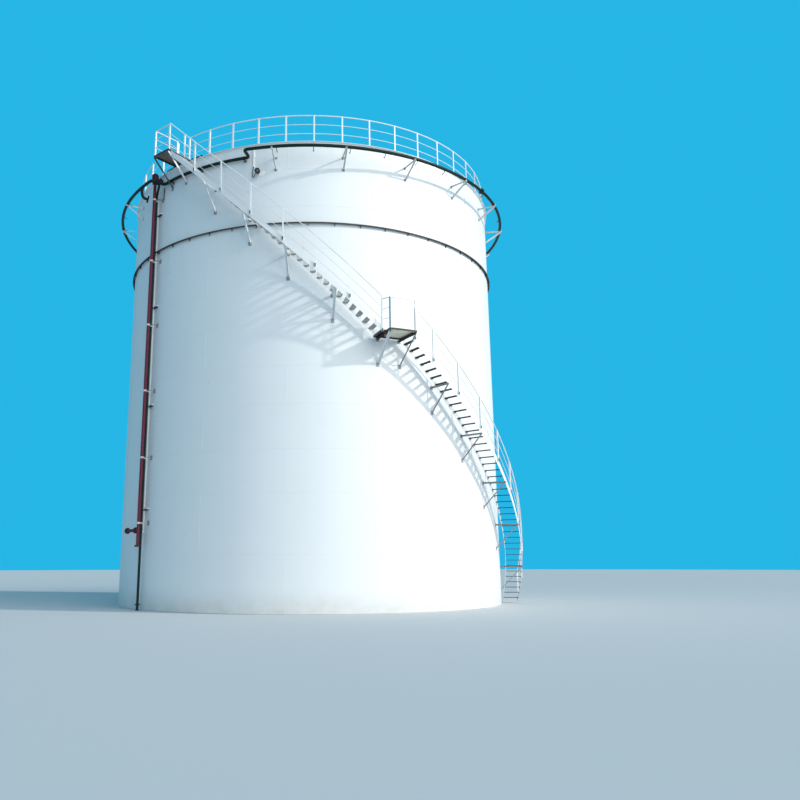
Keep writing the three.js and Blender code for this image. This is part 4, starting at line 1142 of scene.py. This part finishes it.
def build_deck(build, plate, inner, outer, left, right, level):
    """Checkered plate on a frame of angle that is turned in below it. Its webs and end angles are
    black, painted shade on the deck's edges; the turned-in flanges wear the plate's colour.
    """
    steps = 8
    under = level - 0.008
    foot = level - DECK_EDGE_DEPTH
    swept(build.skin(plate), box_outline(inner, outer, under, level), left, right, steps)
    black = build.skin("black")
    for radius, side in ((inner, 1), (outer, -1)):
        # The webs in black are painted shade; the flanges below them are in the plate's colour.
        web = radius + side * 0.007
        flange = radius + side * 0.04
        swept(black, box_outline(radius, web, foot, under), left, right, steps)
        swept(build.skin(plate), box_outline(web, flange, foot, foot + 0.007), left, right, steps)
    drop = foot - under
    outline = [(0.0, 0.0), (0.04, 0.0), (0.04, -0.007), (0.007, -0.007), (0.007, drop), (0.0, drop)]
    for azimuth, side in ((left, -1.0), (right, 1.0)):
        start, end = spot(azimuth, inner + 0.008, foot), spot(azimuth, outer - 0.008, foot)
        turned = [(x * side, y) for x, y in outline]
        extruded(black, turned, between(start, end), outer - inner - 0.016)


def build_landing():
    build = Build("stair_landing_deck")
    edge = STAIR_OUTER + STRINGER_THICKNESS
    right = LANDING_RIGHT - 0.01
    deck = (LANDING_INNER, LANDING_OUTER, LANDING_WIDE_LEFT, right, LANDING_LEVEL)
    build_deck(build, "deck", *deck)
    lapped = LANDING_WIDE_LEFT + math.degrees(0.008 / LANDING_INNER)
    narrow = (LANDING_INNER, edge, LANDING_LEFT + 0.01, lapped, LANDING_LEVEL)
    build_deck(build, "grating", *narrow)
    # A dark panel below the left part of the deck
    under = LANDING_LEVEL - 0.014
    panel = box_outline(LANDING_INNER + 0.02, edge, under, under + 0.007)
    swept(build.skin("black"), panel, LANDING_WIDE_LEFT, LANDING_PANEL_RIGHT, 4)
    inset = math.degrees(0.025 / SHELL_RADIUS)
    bearing = LANDING_LEVEL - DECK_EDGE_DEPTH
    left = LANDING_WIDE_LEFT + inset
    # The brackets' arms under the deck are black, painted shade below it; the right bracket's grey
    # strut is painted shade too.
    knee_bracket(build, left, bearing, LANDING_OUTER, STRUT_LEG, "white", "black")
    clip = standing(LANDING_WIDE_LEFT + 0.3, STAIR_OUTER - 0.10, bearing - 0.03)
    block(build.skin("rusty"), clip, (0.08, 0.17, 0.075), 0.004)
    knee_bracket(build, right - inset, bearing, LANDING_OUTER, LIGHT_STRUT_LEG, "strut", "black")
    build.finish("deck_steel", "stair_landing")


def build_platform():
    build = Build("top_platform_deck")
    right = PLATFORM_RIGHT - 0.01
    deck = (PLATFORM_INNER, PLATFORM_OUTER, PLATFORM_LEFT, right, PLATFORM_LEVEL)
    build_deck(build, "platform", *deck)
    low = PLATFORM_LEVEL - PLATFORM_BRACE_DROP
    for head_azimuth, foot_azimuth, finish in PLATFORM_BRACES:
        head = spot(head_azimuth, PLATFORM_OUTER - 0.02, PLATFORM_LEVEL - DECK_EDGE_DEPTH)
        foot = spot(foot_azimuth, PAD_FACE, low + 0.04)
        strut_angle(build.skin(finish), foot, head, STRUT_LEG, 0.008)
        pads(build, foot_azimuth, [low + 0.02], (0.12, 0.16))
    inner, outer, head = SHELL_RADIUS - 0.03, SHELL_RADIUS + 0.03, PLATFORM_LEVEL - 0.07
    seat = [(inner, TANK_HEIGHT + 0.011), (outer, TANK_HEIGHT + GAP), (outer, head), (inner, head)]
    # The bar on the roof's edge is black: painted shade along the rim.
    swept(build.skin("black"), seat, *PLATFORM_SEAT, 24)
    build.finish("deck_steel", "top_platform")


# Cooling-water ring


def ring_bracket(build, azimuth):
    """Arm and strut of light angle, with a strap over the pipe."""
    top = RING_LEVEL - RING_PIPE - 0.001
    bm = build.skin("ring white")
    angle_bar(bm, spot(azimuth, PAD_FACE, top), spot(azimuth, RING_REACH, top), 0.045, 0.005)
    head = spot(azimuth, RING_REACH - 0.025, top - 0.025)
    foot = spot(azimuth, PAD_FACE, top - RING_DROP)
    strut_angle(bm, foot, head, RING_STRUT_LEG, 0.005)
    pads(build, azimuth, [top - 0.025, top - RING_DROP], (0.10, 0.10))
    reach = RING_PIPE + 0.006
    strap = [spot(azimuth, RING_RADIUS + reach, top - 0.02)]
    for i in range(13):
        turn = math.pi * i / 12
        out, lift = reach * math.cos(turn), reach * math.sin(turn)
        strap.append(spot(azimuth, RING_RADIUS + out, RING_LEVEL + lift))
    strap.append(spot(azimuth, RING_RADIUS - reach, top - 0.02))
    bent_tube(build.skin("bolt"), strap, 0.006, 6)


def spray_nozzle(build, azimuth):
    """A short drop leg with a spray head that points at the shell."""
    bends = ((0.02, 0.04), (0.06, 0.11), (0.12, 0.12))
    elbow = [spot(azimuth, RING_RADIUS - inset, RING_LEVEL - drop) for inset, drop in bends]
    elbow = rounded(elbow, 0.03, 3)
    bent_tube(build.skin("green"), elbow, 0.012, 8)
    head = [(0.0, 0.0), (0.018, 0.0), (0.024, 0.02), (0.024, 0.035), (0.010, 0.045), (0.0, 0.045)]
    tip = elbow[-1]
    lathe(build.skin("bolt"), head, between(tip, tip + (tip - elbow[-2])), 12)


def build_ring():
    for n, (first, last) in enumerate(zip(RING_UNIONS, RING_UNIONS[1:])):
        build = Build(f"cooling_ring_{n + 1}")
        steps = int((last - first) / 2)
        pipe_arc(build.skin("green"), RING_LEVEL, RING_RADIUS, RING_PIPE, first, last, steps, 16)
        for azimuth in RING_BRACKETS:
            if first < azimuth < last:
                ring_bracket(build, azimuth)
        azimuth = first + NOZZLE_START
        while azimuth < last:
            spray_nozzle(build, azimuth)
            azimuth += NOZZLE_STEP
        if n == 0:
            place = standing(RING_FLANGE, RING_RADIUS, RING_LEVEL)
            place = place @ Matrix.Rotation(math.radians(90), 4, "Y")
            flange_pair(build, "black", place, 0.11, 0.05, 8)
        build.finish("green_paint", f"water_ring_{n + 1}")


def build_ring_inset():
    """The ring's stretch behind the stair, close to the shell, with an elbow at each corner."""
    build = Build("cooling_ring_inset")
    green = build.skin("green")

    def on_ring(azimuth, radius=RING_RADIUS):
        return spot(azimuth, radius, RING_LEVEL)

    right = [on_ring(-15.5), on_ring(RING_RIGHT), on_ring(RING_RIGHT, RING_INSET)]
    right.append(on_ring(RING_RIGHT - 2.0, RING_INSET))
    sweep = RING_LEFT - RING_RIGHT
    inner = [on_ring(RING_RIGHT + sweep * i / 24, RING_INSET) for i in range(2, 23)]
    left = [on_ring(RING_LEFT + 2.0, RING_INSET), on_ring(RING_LEFT, RING_INSET)]
    left += [on_ring(RING_LEFT), on_ring(RING_LEFT - 1.5)]
    route = [on_ring(RING_UNIONS[0]), *rounded(right, 0.15)[:-1], *inner, *rounded(left, 0.15)[1:]]
    bent_tube(green, route + [on_ring(RING_UNIONS[-1] - 360)], RING_PIPE, 16)
    top = RING_LEVEL - RING_PIPE - 0.001
    for azimuth in RING_STUBS:
        start, end = spot(azimuth, PAD_FACE, top), spot(azimuth, RING_STUB_REACH, top)
        angle_bar(green, start, end, 0.045, 0.005)
        pads(build, azimuth, [top - 0.025], (0.10, 0.10))
    build.finish("green_paint", "water_ring_inset")


def build_ring_branch():
    """A hooked branch below the ring, with a bolted blind flange on its end."""
    build = Build("ring_flushing_branch_pipe")
    points = [spot(azimuth, radius, RING_LEVEL - drop) for azimuth, radius, drop in BRANCH_ROUTE]
    curve = []
    for i, (start, end) in enumerate(zip(points, points[1:])):
        # A smooth curve through the points: at each one it runs along the line past it
        leaving = (end - points[max(i - 1, 0)]) * 0.5
        coming = (points[min(i + 2, len(points) - 1)] - start) * 0.5
        for k in range(5):
            t = k / 5
            curve.append(
                start * (2 * t**3 - 3 * t**2 + 1)
                + leaving * (t**3 - 2 * t**2 + t)
                + end * (3 * t**2 - 2 * t**3)
                + coming * (t**3 - t**2)
            )
    tip = points[-1]
    bent_tube(build.skin("green"), curve + [tip], BRANCH_PIPE, 14)
    run = (tip - points[-2]).normalized()
    flange = between(tip - run * 0.025, tip + run * 0.030)
    flange_pair(build, "green", flange, BRANCH_FLANGE, 0.055, 8)
    build.finish("green_paint", "ring_flushing_branch")


# Risers


def build_foam_riser():
    build = Build("foam_riser_pipe")
    bm = build.skin("maroon")
    pipe = RING_PIPE

    def on_pipe(level):
        return spot(FOAM_AZIMUTH, FOAM_RADIUS, level)

    tube(bm, on_pipe(FOAM_BOTTOM), on_pipe(CHAMBER_FOOT), pipe, 24)
    foot = standing(FOAM_AZIMUTH, FOAM_RADIUS, FOAM_BOTTOM)
    flange_pair(build, "black", foot, PIPE_FLANGE, 0.06, 8)
    end_azimuth = FOAM_AZIMUTH - math.degrees(FOAM_BRANCH_LENGTH / FOAM_RADIUS)
    start = on_pipe(FOAM_BRANCH)
    end = spot(end_azimuth, FOAM_RADIUS + 0.06, FOAM_BRANCH)
    run = (end - start).normalized()
    tube(bm, start, end, pipe, 24)
    for distance in (0.17, (end - start).length - 0.025):
        centre = start + run * distance
        place = between(centre - run * 0.01, centre + run * 0.01)
        flange_pair(build, "black", place, PIPE_FLANGE, 0.05, 8)
    low, high = pipe - 0.002, pipe + 0.003
    bead = [(low, -0.010), (high, -0.004), (high, 0.004), (low, 0.010)]
    for level in FOAM_WELDS:
        lathe(bm, bead, standing(FOAM_AZIMUTH, FOAM_RADIUS, level), 24)
    build.finish("maroon_paint", "foam_riser")


def build_foam_chamber():
    """The rounded chamber on top of the riser, with its flanged outlet through the shell."""
    build = Build("foam_chamber_body")
    bm = build.skin("aged maroon")
    foot = [(0.0, 0.0), (0.10, 0.0), (0.105, 0.006), (0.105, 0.030), (0.118, 0.050)]
    body = [(0.122, 0.080), (0.122, 0.310), (0.130, 0.312), (0.130, 0.334), (0.120, 0.338)]
    cap = [(0.108, 0.370), (0.080, 0.400), (0.045, 0.416), (0.0, 0.424)]
    lathe(bm, foot + body + cap, standing(FOAM_AZIMUTH, FOAM_RADIUS, CHAMBER_FOOT), 32)
    level = CHAMBER_FOOT + 0.18
    outlet = spot(FOAM_AZIMUTH, SHELL_RADIUS, level)
    tube(bm, outlet, spot(FOAM_AZIMUTH, FOAM_RADIUS, level), 0.075, 24)
    flange = outwards(FOAM_AZIMUTH, SHELL_RADIUS + 0.08, level)
    flange_pair(build, "black", flange, 0.118, 0.04, 8)
    rim = standing(FOAM_AZIMUTH, FOAM_RADIUS, CHAMBER_FOOT + 0.334)
    bolt_ring(build, rim, 0.122, 10)
    build.finish("maroon_paint", "foam_chamber")


def build_water_riser():
    """Riser with a swan neck into the ring, and the bars and collars that hold both risers."""
    build = Build("water_riser_pipe_and_clamps")
    green = build.skin("green")
    points = [
        spot(WATER_AZIMUTH, WATER_RADIUS, 0.0),
        spot(WATER_AZIMUTH, WATER_RADIUS, RING_LEVEL - 0.31),
        spot(RING_LEFT, WATER_NECK_RADIUS, RING_LEVEL - 0.17),
        spot(RING_LEFT, WATER_NECK_RADIUS, RING_LEVEL - 0.03),
    ]
    bent_tube(green, rounded(points, 0.07), WATER_PIPE, 20)
    flange = standing(WATER_AZIMUTH, WATER_RADIUS, 0.20)
    flange_pair(build, "green", flange, 0.085, 0.04, 6)
    foot = standing(WATER_AZIMUTH, WATER_RADIUS, 0.0)
    lathe(green, box_outline(0, 0.07, 0, 0.024), foot, 24)
    white = build.skin("ring white")
    half = CLAMP_WIDTH / 2
    pipes = ((FOAM_AZIMUTH, FOAM_RADIUS, RING_PIPE), (WATER_AZIMUTH, WATER_RADIUS, WATER_PIPE))
    for level in CLAMPS:
        strut = build.skin("strut")
        root = spot(CLAMP_ROOT, PAD_FACE, level)
        elbow = spot(CLAMP_ROOT, CLAMP_BAR_RADIUS + half, level)
        flat_bar(strut, root, elbow, CLAMP_WIDTH, 0.012)
        corner = spot(CLAMP_ROOT, CLAMP_BAR_RADIUS, level)
        tip = spot(FOAM_AZIMUTH - 0.6, CLAMP_BAR_RADIUS, level)
        flat_bar(strut, corner, tip, CLAMP_WIDTH, 0.012)
        pads(build, CLAMP_ROOT, [level], (0.14, 0.16))
        for azimuth, radius, pipe in pipes:
            collar = box_outline(pipe + 0.0005, pipe + 0.006, -half, half)
            lathe(white, collar + collar[:1], standing(azimuth, radius, level), 24)
        ear = standing(FOAM_AZIMUTH, FOAM_RADIUS, level)
        ear = ear @ Matrix.Translation((RING_PIPE + 0.02, 0, 0))
        block(white, ear, (0.036, 0.016, CLAMP_WIDTH), 0.002)
        turned = ear @ Matrix.Rotation(math.radians(90), 4, "X")
        build.stamp(BOLT, [turned @ Matrix.Translation((0, 0, 0.008))])
    low = spot(STAY_AZIMUTH, STAY_RADIUS, CLAMPS[-1])
    high = spot(STAY_AZIMUTH, STAY_RADIUS, RING_LEVEL - 0.05)
    flat_bar(build.skin("rusty"), low, high, 0.05, 0.02)
    build.finish("green_paint", "water_riser")


def build_conduit():
    """Cable pipe beside the risers, on clips that reach behind them to the right."""
    build = Build("cable_conduit_run")
    white = build.skin("white")
    foot = spot(CONDUIT_AZIMUTH, CONDUIT_RADIUS, CONDUIT_FOOT)
    head = spot(CONDUIT_AZIMUTH, CONDUIT_RADIUS, CONDUIT_HEAD)
    tube(white, foot, head, CONDUIT_PIPE, 16)
    for level in CONDUIT_CLIPS:
        # Each clip is a white bar with a black bar just below it: the black bar is painted shade
        # under the clip.
        for drop, finish in ((0.0, "white"), (0.045, "black")):
            left = spot(CONDUIT_AZIMUTH - 0.3, CLIP_RADIUS, level - drop)
            right = spot(CONDUIT_AZIMUTH + 1.9, CLIP_RADIUS, level - drop)
            flat_bar(build.skin(finish), left, right, 0.062, 0.04)
    sleeve = [(0.024, -0.03), (0.031, -0.03), (0.031, 0.03), (0.024, 0.03), (0.024, -0.03)]
    for level in CONDUIT_SLEEVES:
        lathe(white, sleeve, standing(CONDUIT_AZIMUTH, CONDUIT_RADIUS, level), 16)
    build.finish("shell_paint", "cable_conduit")


def build_lamp():
    """A round flood lamp on a short arm, its cable hanging in a loop below the conduit."""
    build = Build("flood_lamp_and_conduit")
    cast = build.skin("lamp")
    face = LAMP_FACE
    place = outwards(LAMP_AZIMUTH, SHELL_RADIUS, LAMP_LEVEL)
    body = [(0.0, 0.060), (0.050, 0.062), (0.070, 0.080), (0.074, 0.100), (0.090, 0.118)]
    body += [(0.095, 0.140), (0.095, face - 0.006), (0.088, face), (0.082, face)]
    lathe(cast, body + [(0.080, face - 0.014), (0.0, face - 0.016)], place, 32)
    lens = [(0.0, face - 0.004), (0.02, face - 0.0045), (0.04, face - 0.008), (0.052, face - 0.013)]
    lens += [(0.052, face - 0.0155), (0.0, face - 0.0155)]
    lathe(build.skin("glass"), lens, place, 32)
    for turn in range(0, 180, 60):
        guard = place @ Matrix.Rotation(math.radians(turn), 4, "Z")
        turns = [math.pi * i / 8 for i in range(9)]
        arch = [Vector((0.088 * math.cos(t), 0.0, face - 0.004 + 0.03 * math.sin(t))) for t in turns]
        bent_tube(cast, [guard @ point for point in arch], 0.003, 6)
    white = build.skin("white")
    block(white, place @ Matrix.Translation((0, 0, 0.045)), (0.05, 0.04, 0.09), 0.004)
    pads(build, LAMP_AZIMUTH + 0.7, [LAMP_LEVEL - 0.03], (0.20, 0.20), "bright")
    foot = LAMP_LEVEL + 0.25
    low, high = spot(LAMP_CONDUIT, CLIP_RADIUS, foot), spot(LAMP_CONDUIT, CLIP_RADIUS, 15.90)
    tube(white, low, high, 0.018, 12)
    for level in (foot + 0.03, 15.55, 15.86):
        clip = standing(LAMP_CONDUIT, CLIP_RADIUS - 0.006, level)
        block(white, clip @ Matrix.Translation((0, 0.014, 0)), (0.08, 0.036, 0.03), 0.003)
    # The cable's points: degrees from the conduit, distance out from it, height over the lamp
    cable = [(0.0, 0.0, 0.26), (-0.20, 0.02, 0.04), (-0.10, 0.06, -0.12), (0.25, 0.09, -0.23)]
    cable += [(0.70, 0.11, -0.11), (1.00, 0.12, -0.01)]
    loop = [
        spot(LAMP_CONDUIT + turn, CLIP_RADIUS + out, LAMP_LEVEL + lift) for turn, out, lift in cable
    ]
    bent_tube(build.skin("rubber"), rounded(loop, 0.05, 4), 0.014, 8)
    build.finish("shell_paint", "flood_lamp")


# Fittings on the roof and low on the shell


def build_roof_vent():
    build = Build("roof_vent_hood")
    place = Matrix.Translation((0, 0, roof_height(0.0)))
    white = build.skin("white")
    foot = [(0.21, -0.004), (0.21, 0.008), (0.127, 0.010), (0.125, 0.0), (0.125, 0.41)]
    lathe(white, foot, place, 32)
    hood = [(0.120, 0.40), (0.300, 0.420), (0.300, 0.440), (0.296, 0.530), (0.280, 0.585)]
    hood += [(0.230, 0.640), (0.120, 0.680), (0.0, 0.690), (0.0, 0.684), (0.118, 0.674)]
    hood += [(0.226, 0.634), (0.274, 0.582), (0.290, 0.528), (0.290, 0.440), (0.120, 0.420)]
    lathe(white, hood, place, 40)
    mesh = build.skin("lamp")
    for i in range(36):
        turn = place @ Matrix.Rotation(math.tau * i / 36, 4, "Z")
        low, high = turn @ Vector((0.17, 0, 0.30)), turn @ Vector((0.17, 0, 0.42))
        tube(mesh, low, high, 0.003, 5)
    lathe(mesh, box_outline(0.12, 0.175, 0.295, 0.305), place, 32)
    bolt_ring(build, place @ Matrix.Translation((0, 0, 0.008)), 0.175, 12)
    build.finish("shell_paint", "roof_vent")


def roof_neck(name, node, azimuth, radius, bore, height, cover, bolts):
    """A round neck on the roof, with a bolted lid and two handles on it."""
    build = Build(name)
    place = standing(azimuth, radius, roof_height(radius))
    white = build.skin("white")
    neck = [(bore, -0.16), (bore, height - 0.06), (cover, height - 0.06), (cover, height - 0.034)]
    lathe(white, neck + [(0.0, height - 0.034), (0.0, -0.16)], place, 40)
    lid = [(0.0, height - 0.032), (cover, height - 0.032), (cover, height - 0.014)]
    lid += [(cover - 0.01, height - 0.010), (cover * 0.4, height - 0.002), (0.0, height)]
    lathe(white, lid, place, 40)
    seat = place @ Matrix.Translation((0, 0, height - 0.016))
    bolt_ring(build, seat, cover - 0.03, bolts)
    for y in (-0.45 * cover, 0.45 * cover):
        ends = ((-0.07, -0.016), (-0.07, -0.004), (0.07, -0.004), (0.07, -0.016))
        grip = [place @ Vector((x, y, height + z)) for x, z in ends]
        bent_tube(white, rounded(grip, 0.008, 3), 0.006, 8)
    build.finish("shell_paint", node)


def shell_neck(name, node, azimuth, level, bore, reach, flange, plate, bolts, doubler):
    """A neck through the shell with a bolted blind flange, and handles where it is wide."""
    build = Build(name)
    white = build.skin("white")
    place = outwards(azimuth, SHELL_RADIUS, level)
    joint = reach - plate / 2
    groove = flange - 0.012
    neck = [(0.0, -0.02), (bore, -0.02), (bore, reach - plate), (flange, reach - plate)]
    neck += [(flange, joint - 0.002), (groove, joint - 0.002), (groove, joint + 0.002)]
    neck += [(flange, joint + 0.002), (flange, reach - 0.003), (flange - 0.003, reach)]
    lathe(white, neck + [(0.0, reach)], place, 48)
    pad = [(0.0, -0.03), (doubler, -0.03), (doubler, 0.003), (doubler - 0.006, 0.009), (0.0, 0.009)]
    lathe(white, pad, place, 48)
    face = outwards(azimuth, SHELL_RADIUS + reach, level)
    back = outwards(azimuth, SHELL_RADIUS + reach - plate, level)
    for seat in (face, back @ Matrix.Rotation(math.pi, 4, "X")):
        bolt_ring(build, seat, flange - 0.035, bolts, BIG_BOLT)
    if bore > 0.2:
        for x in (-0.09, 0.09):
            ends = ((-0.09, 0.0), (-0.09, 0.05), (0.09, 0.05), (0.09, 0.0))
            grip = [place @ Vector((x, y, reach + z)) for y, z in ends]
            bent_tube(white, rounded(grip, 0.03, 4), 0.009, 10)
    build.finish("shell_paint", node)


def build_fittings():
    build_roof_vent()
    roof_neck("roof_manhole_cover", "roof_manhole", -40.7, 6.1, 0.305, 0.26, 0.37, 20)
    roof_neck("gauge_hatch_lid", "gauge_hatch", -31.5, 6.0, 0.11, 0.30, 0.165, 8)
    shell_neck("shell_manhole_cover", "shell_manhole", 150, 0.76, 0.305, 0.23, 0.385, 0.06, 20, 0.62)
    shell_neck("inlet_nozzle_flange", "inlet_nozzle", -150, 0.42, 0.11, 0.26, 0.17, 0.036, 8, 0.24)
    shell_neck("outlet_nozzle_flange", "outlet_nozzle", 180, 0.42, 0.11, 0.26, 0.17, 0.036, 8, 0.24)


# Studio


def build_studio():
    scene = bpy.context.scene
    floor_mesh = bpy.data.meshes.new("studio_floor")
    bm = bmesh.new()
    bmesh.ops.create_circle(bm, cap_ends=True, segments=96, radius=160.0)
    bm.to_mesh(floor_mesh)
    bm.free()
    floor = bpy.data.objects.new("studio_floor", floor_mesh)
    floor.location = (0.0, 0.0, -0.002)
    scene.collection.objects.link(floor)
    floor_paint = bpy.data.materials.new("studio floor")
    floor_paint.use_nodes = True
    shader = floor_paint.node_tree.nodes["Principled BSDF"]
    shader.inputs["Base Color"].default_value = (0.60, 0.61, 0.61, 1.0)
    shader.inputs["Roughness"].default_value = 0.9
    floor_mesh.materials.append(floor_paint)

    # The sky fills the shaded side with a soft blue and stands behind the tank in a plain one
    world = bpy.data.worlds.new("studio sky")
    world.use_nodes = True
    graph = Graph(world.node_tree)
    lit = world.node_tree.nodes["Background"]
    lit.inputs["Color"].default_value = (0.24, 0.64, 0.93, 1.0)
    lit.inputs["Strength"].default_value = 0.58
    seen = graph.node("ShaderNodeBackground", {"Color": (0.02, 0.47, 0.79, 1.0), "Strength": 1.0})
    direct = graph.node("ShaderNodeLightPath").outputs["Is Camera Ray"]
    links = {0: direct, 1: lit.outputs[0], 2: seen.outputs[0]}
    mixed = graph.node("ShaderNodeMixShader", links).outputs[0]
    graph.feed(world.node_tree.nodes["World Output"].inputs["Surface"], mixed)
    scene.world = world

    lights = [
        ("key_light", 2.0, 2.0, (1.0, 0.97, 0.93), 70.0, 24.5),
        ("soft_light", 1.95, 60.0, (1.0, 0.90, 0.81), 39.0, 22.0),
    ]
    for name, energy, width, color, azimuth, lift in lights:
        light = bpy.data.objects.new(name, bpy.data.lights.new(name, "SUN"))
        light.data.energy = energy
        light.data.angle = math.radians(width)
        light.data.color = color
        towards = spot(azimuth, math.cos(math.radians(lift)), math.sin(math.radians(lift)))
        light.rotation_euler = towards.to_track_quat("Z", "Y").to_euler()
        scene.collection.objects.link(light)

    scene.view_settings.view_transform = "Standard"
    scene.view_settings.look = "None"


def build_camera():
    camera = bpy.data.objects.new("camera", bpy.data.cameras.new("camera"))
    camera.data.lens = 34.94
    camera.data.sensor_width = 36.0
    camera.data.shift_x = 0.0864
    camera.data.clip_end = 400.0
    yaw = Matrix.Rotation(-0.0251, 4, "Z")
    pitch = Matrix.Rotation(math.pi / 2 + 0.2065, 4, "X")
    roll = Matrix.Rotation(-0.0014, 4, "Z")
    camera.matrix_world = Matrix.Translation((0.0, -32.26, 1.58)) @ yaw @ pitch @ roll
    bpy.context.scene.collection.objects.link(camera)
    bpy.context.scene.camera = camera


build_camera()
build_studio()
build_bottom()
build_shell()
build_curb()
build_girder()
build_roof()
build_roof_rail()
build_platform_rail()
build_landing_rail()
build_stair_rail("lower_stair_rail", "stair_rail_lower", LOWER_CLIMB, LOWER_POSTS)
build_stair_rail("upper_stair_rail", "stair_rail_upper", UPPER_CLIMB, UPPER_POSTS, to_platform=True)
# The lower flight's grey struts and near-black grating are painted shade.
build_flights(
    "stair_lower",
    LOWER_CLIMB,
    [0, 11, 22, 32, 42],
    LOWER_BRACKETS,
    LIGHT_STRUT_LEG,
    "strut",
    tread_kit("grating", 0.020, 0.070),
)
build_flights(
    "stair_upper",
    UPPER_CLIMB,
    [0, 11, 22, 33],
    UPPER_BRACKETS,
    STRUT_LEG,
    "white",
    tread_kit("pale grating", 0.030, 0.105),
)
build_landing()
build_platform()
build_ring()
build_ring_inset()
build_ring_branch()
build_foam_riser()
build_foam_chamber()
build_water_riser()
build_conduit()
build_lamp()
build_fittings()
